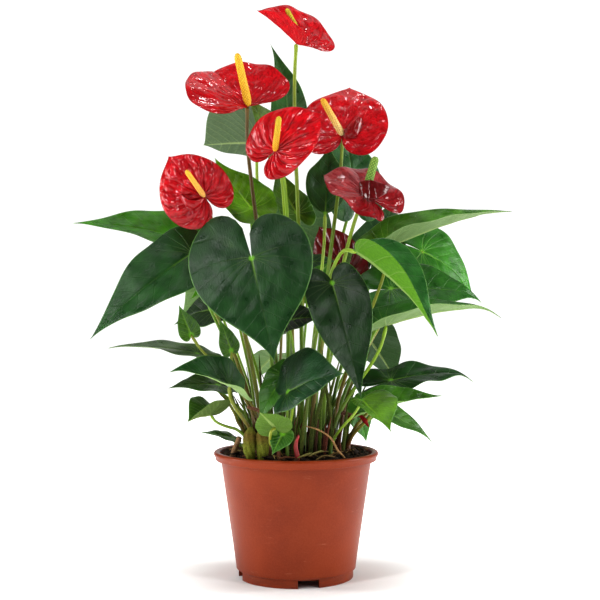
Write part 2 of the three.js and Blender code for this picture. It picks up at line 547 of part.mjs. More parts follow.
function remnantSolid(remnant, extra = 0) {
  const path = remnant.path.map(vector);
  if (extra > 0) path[0].z -= extra;
  return toSolid(tubeGeometry(path, remnant.radii.map((radius) => radius + extra), remnant.sides));
}

// ---------------------------------------------------------------- pot and soil

// The radius of the inner wall at a height.
function innerRadius(z) {
  return BODY_BOTTOM_RADIUS - WALL + (BODY_TOP_RADIUS - BODY_BOTTOM_RADIUS) * z / LIP_BOTTOM;
}

function potSolid() {
  const floor = FOOT_HEIGHT + WALL;
  const profile = [
    [0, FOOT_HEIGHT], [FOOT_RADIUS - 2 * WALL, FOOT_HEIGHT], [FOOT_RADIUS - 2 * WALL, 0],
    [FOOT_RADIUS, 0], [FOOT_RADIUS, FOOT_HEIGHT - 0.6], [BODY_BOTTOM_RADIUS, FOOT_HEIGHT],
    [BODY_TOP_RADIUS, LIP_BOTTOM - 1], [LIP_RADIUS - 1.6, LIP_BOTTOM], [LIP_RADIUS - 0.3, LIP_BOTTOM + 1.6],
    [LIP_RADIUS, LIP_BOTTOM + 3.4], [LIP_RADIUS - 0.9, LIP_TOP - 0.8], [LIP_RADIUS - 2.4, LIP_TOP],
    [LIP_RADIUS - 4.4, LIP_TOP - 0.9], [innerRadius(LIP_BOTTOM), LIP_BOTTOM],
    [innerRadius(floor), floor], [0, floor],
  ].map(([x, z]) => new THREE.Vector2(x, z));
  const body = new THREE.LatheGeometry(profile, POT_SEGMENTS).rotateX(Math.PI / 2);
  let pot = toSolid(body);
  for (let i = 0; i < NOTCH_COUNT; i += 1) {
    const turn = NOTCH_TURN * DEGREE + i * 2 * Math.PI / NOTCH_COUNT;
    const notch = new THREE.BoxGeometry(NOTCH_WIDTH, 12, 2 * NOTCH_HEIGHT);
    notch.translate(0, -FOOT_RADIUS, 0).rotateZ(turn);
    pot = pot.subtract(toSolid(notch));
  }
  for (let i = 0; i < DRAIN_COUNT; i += 1) {
    const turn = (i + 0.5) * 2 * Math.PI / DRAIN_COUNT;
    const drain = new THREE.CylinderGeometry(DRAIN_RADIUS, DRAIN_RADIUS, 4 * WALL, 10).rotateX(Math.PI / 2);
    drain.translate(DRAIN_CIRCLE * Math.cos(turn), DRAIN_CIRCLE * Math.sin(turn), FOOT_HEIGHT + WALL / 2);
    pot = pot.subtract(toSolid(drain));
  }
  return pot;
}

function soilHeight(x, y) {
  const spread = Math.hypot(x, y) / BODY_TOP_RADIUS;
  const small = Math.sin(0.31 * x + 1.3) * Math.cos(0.27 * y);
  const large = Math.sin(0.17 * (x + y)) * Math.cos(0.4 * y - 0.2 * x);
  return SOIL_EDGE_HEIGHT + SOIL_CROWN * (1 - spread * spread) + SOIL_LUMP * (small + large);
}

function soilSolid(stems) {
  const edgeRadius = innerRadius(SOIL_EDGE_HEIGHT) - SOIL_MARGIN;
  const bottom = FOOT_HEIGHT + WALL + GAP;
  const bottomRadius = innerRadius(bottom) - SOIL_MARGIN;
  const points = [new THREE.Vector3(0, 0, soilHeight(0, 0))];
  const triangles = [];
  for (let ring = 1; ring <= SOIL_RINGS; ring += 1) {
    for (let k = 0; k < SOIL_SEGMENTS; k += 1) {
      const turn = 2 * Math.PI * (k + 0.5 * (ring % 2)) / SOIL_SEGMENTS;
      const edge = ring === SOIL_RINGS;
      const reach = edgeRadius * ring / SOIL_RINGS;
      const [x, y] = [reach * Math.cos(turn), reach * Math.sin(turn)];
      points.push(new THREE.Vector3(x, y, edge ? SOIL_EDGE_HEIGHT : soilHeight(x, y)));
    }
  }
  for (let k = 0; k < SOIL_SEGMENTS; k += 1) {
    const turn = 2 * Math.PI * (k + 0.5 * (SOIL_RINGS % 2)) / SOIL_SEGMENTS;
    points.push(new THREE.Vector3(bottomRadius * Math.cos(turn), bottomRadius * Math.sin(turn), bottom));
  }
  points.push(new THREE.Vector3(0, 0, bottom));
  const at = (ring, k) => 1 + (ring - 1) * SOIL_SEGMENTS + k % SOIL_SEGMENTS;
  for (let k = 0; k < SOIL_SEGMENTS; k += 1) {
    triangles.push(0, at(1, k), at(1, k + 1));
    for (let ring = 1; ring < SOIL_RINGS; ring += 1) {
      const lean = ring % 2;
      const [a, b, c] = [at(ring, k), at(ring, k + 1), at(ring + 1, k + lean)];
      if (lean) triangles.push(a, at(ring + 1, k), c, a, c, b);
      else triangles.push(a, c, b, b, c, at(ring + 1, k + 1));
    }
    triangles.push(at(SOIL_RINGS, k), at(SOIL_RINGS + 1, k), at(SOIL_RINGS + 1, k + 1));
    triangles.push(at(SOIL_RINGS, k), at(SOIL_RINGS + 1, k + 1), at(SOIL_RINGS, k + 1));
    triangles.push(points.length - 1, at(SOIL_RINGS + 1, k + 1), at(SOIL_RINGS + 1, k));
  }
  let soil = toSolid(meshOf(points, triangles));
  for (const stem of stems) if (!stem.branch) soil = soil.subtract(stemSolid(stem, STEM_GAP, 2));
  for (const remnant of REMNANTS) soil = soil.subtract(remnantSolid(remnant, STEM_GAP));
  return soil;
}

// ---------------------------------------------------------------- the plant

function spadixSolid(bloom) {
  const { normal } = bladeSurface(bloom)(0, 0);
  const axis = vector(bloom.spadix);
  const base = vector(bloom.joint).addScaledVector(normal, SPATHE.thickness / 2 + bloom.lift);
  const path = [];
  const radii = [];
  for (let ring = 0; ring <= SPADIX_RINGS; ring += 1) {
    const t = ring / SPADIX_RINGS;
    path.push(base.clone().addScaledVector(axis, t));
    const round = Math.max(0, (t - SPADIX_SHOULDER) / (1.02 - SPADIX_SHOULDER));
    const swell = Math.min(1, SPADIX_FOOT + 3 * t) * (1 - SPADIX_TAPER * t);
    const radius = bloom.radius * swell * Math.sqrt(1 - round * round);
    const relief = ring > 0 && ring < SPADIX_RINGS ? FLORET : 0;
    const floret = (_, k) => radius * (1 + relief * ((ring + k) % 2 ? 1 : -1));
    radii.push(Array.from({ length: SPADIX_SIDES }, floret));
  }
  return toSolid(tubeGeometry(path, radii, SPADIX_SIDES));
}

const group = new THREE.Group();

function place(name, solid, colour, roughness) {
  const material = new THREE.MeshStandardMaterial({ color: colour, roughness, metalness: 0 });
  const mesh = new THREE.Mesh(toGeometry(solid), material);
  mesh.name = name;
  group.add(mesh);
}

const stems = plantStems();

place('pot', potSolid(), POT_COLOUR, 0.5);
place('soil', soilSolid(stems), SOIL_COLOUR, 0.95);

const shoots = new Map();
for (const stem of stems) {
  if (stem.node.startsWith('stalk')) {
    place(stem.node, stemSolid(stem), STALK_COLOUR, 0.5);
    continue;
  }
  const { spokes, rings } = meshSize(stem.piece);
  const blade = bladeGeometry(stem.piece, spokes, rings, BLADE);
  const solid = toSolid(blade).add(stemSolid(stem));
  const shoot = shoots.get(stem.node);
  if (shoot) shoot.solid = shoot.solid.add(solid);
  else shoots.set(stem.node, { solid, age: stem.piece.age });
}
for (const [name, shoot] of shoots) place(name, shoot.solid, LEAF_COLOURS[shoot.age], 0.45);

BLOOMS.forEach((row, index) => {
  const bloom = { ...SPATHE_SHAPE, ...row };
  const spathe = toSolid(bladeGeometry(bloom, SPATHE.spokes, SPATHE.rings, SPATHE.thickness));
  place(`spathe_${index + 1}`, spathe, SPATHE_COLOURS[bloom.hue], 0.25);
  place(`spadix_${index + 1}`, spadixSolid(bloom), SPADIX_COLOURS[bloom.spike], 0.6);
});

for (const remnant of REMNANTS) {
  place(remnant.node, remnantSolid(remnant), remnant.colour, 0.7);
}

export default group;
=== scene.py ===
"""Dresses the potted anthurium: veined leaves, blistered spathes, floreted spadices, pot and soil."""
import math

import bpy
import numpy as np
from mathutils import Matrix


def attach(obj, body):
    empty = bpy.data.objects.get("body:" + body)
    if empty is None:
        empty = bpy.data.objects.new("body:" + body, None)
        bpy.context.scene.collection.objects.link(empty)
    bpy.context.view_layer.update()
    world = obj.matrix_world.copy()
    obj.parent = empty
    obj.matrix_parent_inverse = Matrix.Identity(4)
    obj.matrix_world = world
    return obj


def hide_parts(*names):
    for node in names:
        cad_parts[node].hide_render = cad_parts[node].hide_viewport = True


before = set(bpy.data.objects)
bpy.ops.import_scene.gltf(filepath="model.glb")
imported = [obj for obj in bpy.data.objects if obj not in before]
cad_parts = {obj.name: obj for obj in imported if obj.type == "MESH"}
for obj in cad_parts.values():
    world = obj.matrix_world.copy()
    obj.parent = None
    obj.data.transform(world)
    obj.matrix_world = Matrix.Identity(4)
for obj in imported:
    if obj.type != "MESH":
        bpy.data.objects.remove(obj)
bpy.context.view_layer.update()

MM = 0.001                        # every table and formula below is in millimetres
SEED = 41

# ---------------------------------------------------------------- camera, light and stage

CAMERA_PLACE = (2.9, -880, 201.6)
CAMERA_FOCAL = 1202.7             # in pixels of the 600-pixel frame
FRAME_PIXELS = 600
SENSOR = 36
CONTRAST = 0.86                   # below 1 deepens the dark tones, as the photo has them
FRONT_LIGHT = (0.16, 0.16, 0.165)
BACK_LIGHT = (1.1, 1.1, 1.1)
BACK_EDGE = (0.87, 0.94)          # between the room's dim front and its bright back
LIGHT_AIM = (0, 0, 0.22)

# Name, place, aim and size in metres, then watts. The key and the fill are upright strips, which draw long
# glints on the waxy spathes. The sparks are small, for the glints of the faces that look up.
SOFTBOXES = (
    ("key", (-0.95, -1.0, 1.1), LIGHT_AIM, (0.07, 0.9), 10.5),
    ("fill", (1.05, -0.95, 0.95), LIGHT_AIM, (0.07, 0.8), 7.5),
    ("left", (-1.15, 0.0, 0.4), LIGHT_AIM, (0.28, 0.9), 9),
    ("right", (1.15, 0.1, 0.45), LIGHT_AIM, (0.28, 0.9), 10),
    ("back", (0, 1.7, 1.2), (0, 1.7, 0), (3.2, 1.4), 9),
    ("spark_left", (-0.25, -0.35, 1.35), LIGHT_AIM, (0.08, 0.08), 1.3),
    ("spark_right", (0.15, 0.25, 1.4), LIGHT_AIM, (0.08, 0.08), 1.1),
)


def add_camera():
    data = bpy.data.cameras.new("camera")
    data.sensor_width = SENSOR
    data.lens = CAMERA_FOCAL / FRAME_PIXELS * SENSOR
    data.clip_start = 0.01
    camera = bpy.data.objects.new("camera", data)
    camera.location = [MM * value for value in CAMERA_PLACE]
    camera.rotation_euler = (math.pi / 2, 0, 0)
    bpy.context.collection.objects.link(camera)
    bpy.context.scene.camera = camera


def add_softbox(name, place, aim, size, watts):
    data = bpy.data.lights.new(name, "AREA")
    data.shape = "RECTANGLE"
    data.size, data.size_y = size
    data.energy = watts
    light = bpy.data.objects.new(name, data)
    light.location = place
    way = np.array(aim) - np.array(place)
    flat = math.hypot(way[0], way[1])
    light.rotation_euler = (math.atan2(flat, -way[2]), 0, math.atan2(way[1], way[0]) - math.pi / 2)
    bpy.context.collection.objects.link(light)


def light_world():
    """A room that lights the plant dimly from the camera's side, and that the camera sees as white."""
    world = bpy.data.worlds.new("studio")
    bpy.context.scene.world = world
    world.use_nodes = True
    tree = world.node_tree
    place = tree.nodes.new("ShaderNodeTexCoord")
    way = tree.nodes.new("ShaderNodeSeparateXYZ")
    ramp = tree.nodes.new("ShaderNodeValToRGB")
    for element, edge, light in zip(ramp.color_ramp.elements, BACK_EDGE, (FRONT_LIGHT, BACK_LIGHT)):
        element.position = edge
        element.color = (*light, 1)
    ray = tree.nodes.new("ShaderNodeLightPath")
    seen = tree.nodes.new("ShaderNodeMix")
    seen.data_type = "RGBA"
    seen.inputs[7].default_value = (*BACK_LIGHT, 1)
    tree.links.new(place.outputs["Generated"], way.inputs[0])
    tree.links.new(way.outputs["Y"], ramp.inputs["Fac"])
    tree.links.new(ray.outputs["Is Camera Ray"], seen.inputs[0])
    tree.links.new(ramp.outputs["Color"], seen.inputs[6])
    tree.links.new(seen.outputs[2], tree.nodes["Background"].inputs["Color"])


def light_scene():
    light_world()
    for row in SOFTBOXES:
        add_softbox(*row)
    view = bpy.context.scene.view_settings
    view.view_transform = "Standard"
    view.gamma = CONTRAST


# ---------------------------------------------------------------- materials

FLOOR_GLOW = 0.75
FLOOR_GLOW_EDGE = (0.043, 0.14)   # metres from the axis: the foot's shadow stays dark inside it


def linear(colour):
    """An sRGB colour of 0 to 255 as a linear one."""
    even = np.array(colour) / 255
    return np.where(even <= 0.04045, even / 12.92, ((even + 0.055) / 1.055) ** 2.4)


class Shader:
    """One material's nodes. An input is a number, a colour or another node's output."""

    def __init__(self, name):
        self.material = bpy.data.materials.new(name)
        self.material.use_nodes = True
        self.tree = self.material.node_tree
        self.tree.nodes.clear()

    def feed(self, socket, value):
        if isinstance(value, bpy.types.NodeSocket):
            self.tree.links.new(value, socket)
        elif socket.type == "RGBA":
            socket.default_value = (*value[:3], 1)
        else:
            socket.default_value = value

    def add(self, kind, inputs, **settings):
        node = self.tree.nodes.new(kind)
        for key, value in settings.items():
            setattr(node, key, value)
        for key, value in inputs.items():
            self.feed(node.inputs[key], value)
        return node

    def math(self, operation, a, b=0.0):
        return self.add("ShaderNodeMath", {0: a, 1: b}, operation=operation).outputs[0]

    def times(self, a, b):
        return self.math("MULTIPLY", a, b)

    def plus(self, a, b):
        return self.math("ADD", a, b)

    def smooth(self, value, low, high, start=0.0, end=1.0):
        """Start to end as the value runs from low to high."""
        inputs = {"Value": value, "From Min": low, "From Max": high, "To Min": start, "To Max": end}
        return self.add("ShaderNodeMapRange", inputs, interpolation_type="SMOOTHSTEP").outputs["Result"]

    def mix(self, share, a, b, blend="MIX"):
        node = self.add("ShaderNodeMix", {}, data_type="RGBA", blend_type=blend)
        for index, value in ((0, share), (6, a), (7, b)):
            self.feed(node.inputs[index], value)
        return node.outputs[2]

    def tint(self, colour, factors):
        return self.mix(1.0, colour, factors, "MULTIPLY")

    def shade(self, colour, value, low, high, span=(0.3, 0.7)):
        """The colour times low to high as the value runs through its span."""
        return self.tint(colour, self.mix(self.smooth(value, *span), low, high))

    def paint(self, colour, over, mask, share):
        """The colour with another laid over it, as much as a share of the mask."""
        return self.mix(self.times(mask, share), colour, over)

    def tone(self):
        """The colour that the mesh carries at its points."""
        return self.add("ShaderNodeAttribute", {}, attribute_name="tone").outputs["Color"]

    def carried(self, name):
        """A vector that the mesh carries at its points."""
        return self.add("ShaderNodeAttribute", {}, attribute_name=name).outputs["Vector"]

    def relief(self):
        """How raised the mesh is at its points, 0 to 1. On a leaf it is how clearly its veins show."""
        return self.split(self.carried("relief"))["X"]

    def split(self, vector):
        return self.add("ShaderNodeSeparateXYZ", {0: vector}).outputs

    def join(self, x, y, z):
        return self.add("ShaderNodeCombineXYZ", {0: x, 1: y, 2: z}).outputs[0]

    def reach(self, place):
        """From the origin to a split place, seen flat."""
        square = self.plus(self.math("POWER", place["X"], 2), self.math("POWER", place["Y"], 2))
        return self.math("SQRT", square)

    def object_place(self):
        return self.add("ShaderNodeTexCoord", {}).outputs["Object"]

    def scaled(self, vector, scale):
        return self.add("ShaderNodeMapping", {"Vector": vector, "Scale": scale}).outputs[0]

    def noise(self, vector, scale, detail=2.0, rough=0.5):
        inputs = {"Vector": vector, "Scale": scale, "Detail": detail, "Roughness": rough}
        return self.add("ShaderNodeTexNoise", inputs).outputs[0]

    def cells(self, vector, scale):
        return self.add("ShaderNodeTexVoronoi", {"Vector": vector, "Scale": scale}).outputs["Distance"]

    def bump(self, height, distance):
        """A bump whose distance is in millimetres."""
        return self.add("ShaderNodeBump", {"Height": height, "Distance": distance * MM}).outputs[0]

    def finish(self, **inputs):
        named = {key.replace("_", " "): value for key, value in inputs.items()}
        surface = self.add("ShaderNodeBsdfPrincipled", named)
        self.add("ShaderNodeOutputMaterial", {"Surface": surface.outputs[0]})
        return self.material


def vein_masks(shader, midrib, side_vein):
    """Masks of the midrib, the side veins, the margin and the junction, from the blade's flat places."""
    flat = shader.split(shader.carried("flat"))
    vein = shader.split(shader.carried("vein"))
    width = shader.smooth(flat["Z"], 0.0, 1.0, midrib, 0.25 * midrib)
    beside = shader.math("DIVIDE", shader.math("ABSOLUTE", flat["Y"]), width)
    rib = shader.times(shader.smooth(beside, 0.6, 1.6, 1, 0), shader.smooth(flat["X"], -0.5, 1.0))
    off = shader.math("ABSOLUTE", shader.math("SUBTRACT", vein["X"], shader.math("ROUND", vein["X"])))
    side = shader.smooth(shader.times(off, vein["Y"]), 0.3 * side_vein, side_vein, 1, 0)
    margin = shader.smooth(vein["Z"], 0.3, 1.0, 1, 0)
    reach = shader.reach(flat)
    junction = shader.smooth(reach, 0.9, 2.8, 1, 0)
    near = shader.smooth(reach, 4, 24, 1, 0)
    return {"rib": rib, "side": side, "margin": margin, "junction": junction, "near": near}


def leaf_top_material():
    shader = Shader("leaf_top")
    tone = shader.tone()
    flat = shader.carried("flat")
    veined = shader.relief()
    masks = vein_masks(shader, 0.7, 0.45)
    mottle = shader.noise(flat, 0.07, 3)
    fine = shader.noise(shader.scaled(flat, (0.25, 1.1, 0)), 1.0, 4, 0.6)
    colour = shader.shade(tone, mottle, (0.6, 0.68, 0.5), (1.4, 1.3, 0.9))
    colour = shader.shade(colour, fine, (0.85, 0.86, 0.85), (1.2, 1.16, 1.15), (0.3, 0.75))
    pale = shader.mix(0.5, shader.tint(tone, (3.2, 2.6, 2.0)), linear((150, 190, 70)))
    half = shader.times(veined, 0.5)
    near = shader.times(masks["near"], shader.plus(half, 0.12))
    colour = shader.paint(colour, pale, masks["side"], shader.plus(shader.times(veined, 0.22), near))
    colour = shader.paint(colour, pale, masks["rib"], shader.plus(half, shader.times(masks["near"], 0.55)))
    colour = shader.paint(colour, linear((96, 142, 62)), masks["margin"], 0.7)
    colour = shader.mix(masks["junction"], colour, linear((120, 186, 40)))
    height = shader.math("SUBTRACT", fine, shader.times(masks["side"], 0.5))
    return shader.finish(
        Base_Color=colour, Roughness=shader.smooth(mottle, 0.3, 0.7, 0.26, 0.38),
        Specular_IOR_Level=0.38, Normal=shader.bump(height, 0.3))


def leaf_under_material():
    shader = Shader("leaf_underside")
    flat = shader.carried("flat")
    veined = shader.relief()
    masks = vein_masks(shader, 1.1, 0.6)
    fine = shader.noise(shader.scaled(flat, (0.35, 0.8, 0)), 1.2, 4, 0.6)
    pale = linear((176, 196, 120))
    colour = shader.shade(shader.tone(), fine, (0.8, 0.84, 0.78), (1.16, 1.12, 1.14), (0.3, 0.75))
    colour = shader.paint(colour, pale, masks["side"], shader.times(veined, 0.35))
    colour = shader.paint(colour, pale, masks["rib"], 0.45)
    height = shader.plus(fine, shader.times(masks["side"], 0.8))
    return shader.finish(
        Base_Color=colour, Roughness=0.55, Specular_IOR_Level=0.3, Normal=shader.bump(height, 0.2))


def spathe_top_material():
    """A waxy coat over a blistered face, with painted shade in the creases, streaks along the grooves, and
    painted highlights of pale pink on the most raised parts and the light streaks.
    """
    shader = Shader("spathe_top")
    tone = shader.tone()
    flat = shader.carried("flat")
    masks = vein_masks(shader, 0.6, 0.5)
    relief = shader.relief()
    cloud = shader.noise(flat, 0.1, 3)
    grain = shader.noise(flat, 0.45, 2, 0.6)
    groove = shader.times(shader.split(shader.carried("vein"))["X"], 5.0)
    outward = shader.times(shader.reach(shader.split(flat)), 0.28)
    streak = shader.noise(shader.join(groove, outward, 0.0), 1.0, 0, 0.5)
    dark = shader.tint(tone, (0.55, 0.1, 0.25))
    deep = shader.tint(tone, (0.34, 0.05, 0.2))
    colour = shader.shade(tone, cloud, (0.76, 0.74, 0.74), (1.14, 1.05, 1.05))
    # Painted highlight: a faint pale pink on the most raised parts.
    colour = shader.mix(shader.smooth(relief, 0.55, 1.0, 0, 0.03), colour, linear((226, 96, 112)))
    # Painted shade: the low creases darkened towards a deep red.
    colour = shader.mix(shader.smooth(relief, 0.0, 0.5, 0.9, 0), colour, deep)
    colour = shader.paint(colour, dark, masks["side"], 0.25)
    colour = shader.paint(colour, dark, masks["margin"], 0.65)
    # Painted highlight: pale pink where the streaks are light; the next line makes the dark streaks a darker
    # red.
    colour = shader.mix(shader.smooth(streak, 0.58, 0.72, 0, 0.05), colour, linear((232, 84, 104)))
    colour = shader.mix(shader.smooth(streak, 0.3, 0.47, 0.6, 0), colour, dark)
    return shader.finish(
        Base_Color=colour, Roughness=shader.smooth(cloud, 0.3, 0.7, 0.4, 0.5), Specular_IOR_Level=0.06,
        Normal=shader.bump(shader.plus(streak, grain), 0.4), Coat_Weight=0.7, Coat_Roughness=0.03,
        Coat_Normal=shader.bump(grain, 0.16))


def spathe_under_material():
    shader = Shader("spathe_underside")
    flat = shader.carried("flat")
    masks = vein_masks(shader, 0.9, 0.5)
    cloud = shader.noise(flat, 0.2, 3)
    colour = shader.shade(shader.tone(), cloud, (0.8, 0.7, 0.7), (1.1, 1.1, 1.05))
    colour = shader.paint(colour, linear((220, 70, 60)), masks["side"], 0.2)
    grain = shader.noise(flat, 1.2, 3, 0.6)
    return shader.finish(
        Base_Color=colour, Roughness=0.42, Specular_IOR_Level=0.2, Normal=shader.bump(grain, 0.12),
        Coat_Weight=0.1, Coat_Roughness=0.2)


def stem_material():
    shader = Shader("stem_skin")
    grain = shader.carried("grain")
    streak = shader.noise(grain, 1.6, 3, 0.6)
    speck = shader.cells(shader.scaled(grain, (1, 1, 10)), 1.5)
    colour = shader.shade(shader.tone(), streak, (0.68, 0.72, 0.6), (1.3, 1.24, 1.2), (0.32, 0.7))
    colour = shader.mix(shader.smooth(speck, 0.1, 0.25, 0.3, 0), colour, linear((186, 190, 110)))
    return shader.finish(
        Base_Color=colour, Roughness=0.38, Specular_IOR_Level=0.5, Normal=shader.bump(streak, 0.15),
        Coat_Weight=0.1, Coat_Roughness=0.25)


def spadix_material(name, crease, crease_shade_edge, dust_scale, dust_colour, relief, **gloss):
    """Florets with painted shade in the creases between them, and a dust of pollen."""
    shader = Shader(name)
    tone = shader.tone()
    depth = shader.smooth(shader.relief(), 0.1, crease_shade_edge, 1.0, 0)
    # Painted shade: the creases between the florets darkened by the crease factors.
    colour = shader.mix(depth, tone, shader.tint(tone, crease))
    dust = shader.noise(shader.object_place(), dust_scale, 2)
    colour = shader.mix(shader.smooth(dust, 0.45, 0.7, 0, 0.3), colour, linear(dust_colour))
    return shader.finish(Base_Color=colour, Normal=shader.bump(dust, relief), **gloss)


def pot_material():
    """Satin terracotta plastic, scuffed here and there and darker in patches at its foot."""
    shader = Shader("terracotta_plastic")
    place = shader.object_place()
    cloud = shader.noise(place, 22, 3)
    grain = shader.noise(place, 900, 3, 0.6)
    scuff = shader.noise(shader.scaled(place, (1, 1, 6)), 60, 5, 0.7)
    height = shader.split(place)["Z"]
    # Darker in patches within 12 millimetres of the bottom.
    foot_darkening = shader.times(shader.smooth(height, 0.0, 0.012, 1, 0), shader.smooth(scuff, 0.4, 0.6, 0, 0.5))
    colour = shader.mix(shader.smooth(cloud, 0.3, 0.7), linear((128, 46, 10)), linear((143, 56, 17)))
    colour = shader.mix(shader.smooth(grain, 0.35, 0.7, 0, 0.1), colour, linear((190, 96, 62)))
    colour = shader.mix(shader.smooth(scuff, 0.62, 0.74, 0, 0.22), colour, linear((206, 138, 108)))
    colour = shader.mix(foot_darkening, colour, linear((96, 44, 28)))
    return shader.finish(
        Base_Color=colour, Roughness=shader.smooth(grain, 0.3, 0.7, 0.34, 0.42), Specular_IOR_Level=0.24,
        Normal=shader.bump(grain, 0.08))


def soil_material():
    shader = Shader("potting_soil")
    place = shader.object_place()
    lump = shader.noise(place, 260, 5, 0.7)
    chip = shader.noise(place, 900, 3, 0.7)
    colour = shader.mix(shader.smooth(lump, 0.35, 0.65), linear((22, 15, 11)), linear((66, 46, 33)))
    colour = shader.mix(shader.smooth(chip, 0.6, 0.72, 0, 0.5), colour, linear((112, 80, 52)))
    height = shader.plus(lump, shader.times(chip, 0.4))
    return shader.finish(
        Base_Color=colour, Roughness=0.9, Specular_IOR_Level=0.25, Normal=shader.bump(height, 0.9))


def debris_material():
    shader = Shader("bark_and_fibre")
    grain = shader.noise(shader.object_place(), 1200, 4, 0.7)
    colour = shader.shade(shader.tone(), grain, (0.5, 0.5, 0.5), (1.35, 1.3, 1.25))
    return shader.finish(
        Base_Color=colour, Roughness=0.8, Specular_IOR_Level=0.3, Normal=shader.bump(grain, 0.35))


def floor_material():
    """Pale paper that glows all round the pot, so that it meets the white room without an edge."""
    shader = Shader("studio_floor")
    place = shader.object_place()
    colour = shader.mix(shader.noise(place, 3, 2), (0.93, 0.93, 0.93), (0.95, 0.95, 0.95))
    glow = shader.smooth(shader.reach(shader.split(place)), *FLOOR_GLOW_EDGE, 0, FLOOR_GLOW)
    return shader.finish(
        Base_Color=colour, Roughness=0.8, Specular_IOR_Level=0.1, Emission_Color=(1, 1, 1),
        Emission_Strength=glow)


MATERIALS = {
    "leaf_top": leaf_top_material(),
    "leaf_under": leaf_under_material(),
    "stem": stem_material(),
    "spathe_top": spathe_top_material(),
    "spathe_under": spathe_under_material(),
    # The colour factors after each name are the painted shade in the creases between the florets.
    "spadix": spadix_material("spadix_florets", (0.66, 0.5, 0.26), 0.75, 1800, (250, 216, 96), 0.12,
                              Roughness=0.55, Specular_IOR_Level=0.4),
    "spadix_green": spadix_material("spadix_green", (0.2, 0.3, 0.25), 0.8, 1500, (150, 178, 70), 0.15,
                                    Roughness=0.45, Specular_IOR_Level=0.5),
    "pot": pot_material(),
    "soil": soil_material(),
    "debris": debris_material(),
    "floor": floor_material(),
}

# ---------------------------------------------------------------- mesh helpers

def unit(vector):
    return vector / np.maximum(np.linalg.norm(vector, axis=-1, keepdims=True), 1e-9)


def blend(low, high, share):
    """Goes from one colour to another. Share is a number, or a row of them."""
    low, high = linear(low), linear(high)
    return low + (high - low) * np.reshape(share, (-1, 1))


class Shape:
    """Gathers points, faces and attributes of several forms, to make one object of them."""

    def __init__(self):
        self.points = []
        self.faces = []
        self.slots = []
        self.values = {}
        self.count = 0

    def add(self, points, faces, slot, **values):
        """Slot is one material number for all faces, or a list of them. Values are the attributes."""
        points = np.asarray(points, float).reshape(-1, 3)
        if isinstance(slot, int):
            slot = [slot] * len(faces)
        self.faces += [[self.count + index for index in face] for face in faces]
        self.slots += list(slot)
        for key, value in values.items():
            rows = np.broadcast_to(np.asarray(value, float), (len(points), 3))
            self.values.setdefault(key, []).append(rows)
        self.points.append(points)
        self.count += len(points)

    def build(self, name, materials, replaced=None, smooth=True):
        """Makes the object, which stands for a node of the CAD where one is replaced."""
        mesh = bpy.data.meshes.new(name)
        mesh.from_pydata((np.concatenate(self.points) * MM).tolist(), [], self.faces)
        mesh.polygons.foreach_set("material_index", self.slots)
        mesh.polygons.foreach_set("use_smooth", [smooth] * len(self.faces))
        for material in materials:
            mesh.materials.append(MATERIALS[material])
        for key, rows in self.values.items():
            layer = mesh.attributes.new(key, "FLOAT_VECTOR", "POINT")
            layer.data.foreach_set("vector", np.concatenate(rows).ravel())
        mesh.validate()
        mesh.update()
        piece = bpy.data.objects.new(name, mesh)
        bpy.context.collection.objects.link(piece)
        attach(piece, "root")
        if replaced:
            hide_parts(replaced)
        return piece


def value_noise(x, y, seed):
    """Smooth noise of -1 to 1 over a plane, with cells 1 wide."""
    table = np.random.default_rng(seed).uniform(-1, 1, (64, 64))
    column, row = np.floor(x).astype(int), np.floor(y).astype(int)
    u, v = x - column, y - row
    u, v = u * u * (3 - 2 * u), v * v * (3 - 2 * v)
    corner = [[table[(row + j) % 64, (column + i) % 64] for i in (0, 1)] for j in (0, 1)]
    near = corner[0][0] * (1 - u) + corner[0][1] * u
    far = corner[1][0] * (1 - u) + corner[1][1] * u
    return near * (1 - v) + far * v


def tube(shape, path, radii, sides, slot, tone, relief=None, squash=1.0):
    """Adds a closed tube along points. Relief gives a share of its radius, from turn and ring."""
    path = np.asarray(path, float)
    ahead = unit(np.gradient(path, axis=0))
    across = np.array([1.0, 0.0, 0.0])
    rings = []
    grain = []
    turn = 2 * np.pi * np.arange(sides) / sides
    gone = np.concatenate([[0], np.cumsum(np.linalg.norm(np.diff(path, axis=0), axis=1))])
    for i, centre in enumerate(path):
        across = unit(across - ahead[i] * (across @ ahead[i]))
        other = np.cross(ahead[i], across)
        spoke = np.outer(np.cos(turn), across) + np.outer(np.sin(turn) * squash, other)
        reach = radii[i] * (1 if relief is None else 1 + relief(turn, i))
        rings.append(centre + spoke * np.reshape(reach, (-1, 1)))
        grain.append(np.column_stack([2 * np.cos(turn), 2 * np.sin(turn), np.full(sides, 0.04 * gone[i])]))
    count = len(path)
    points = np.concatenate([np.concatenate(rings), path[:1], path[-1:]])
    lines = np.concatenate([np.concatenate(grain), grain[0][:1], grain[-1][:1]])
    faces = []
    for i in range(count - 1):
        for k in range(sides):
            a, b = i * sides + k, i * sides + (k + 1) % sides
            faces.append((a, b, b + sides, a + sides))
    start, end = count * sides, count * sides + 1
    last = (count - 1) * sides
    for k in range(sides):
        faces.append((start, (k + 1) % sides, k))
        faces.append((end, last + k, last + (k + 1) % sides))
    tone = np.asarray(tone, float)
    if tone.ndim == 2:
        tone = np.concatenate([np.repeat(tone, sides, axis=0), tone[:1], tone[-1:]])
    shape.add(points, faces, slot, tone=tone, grain=lines, flat=(0, 0, 0), vein=(0, 1, 9), relief=(0.5, 0, 0))


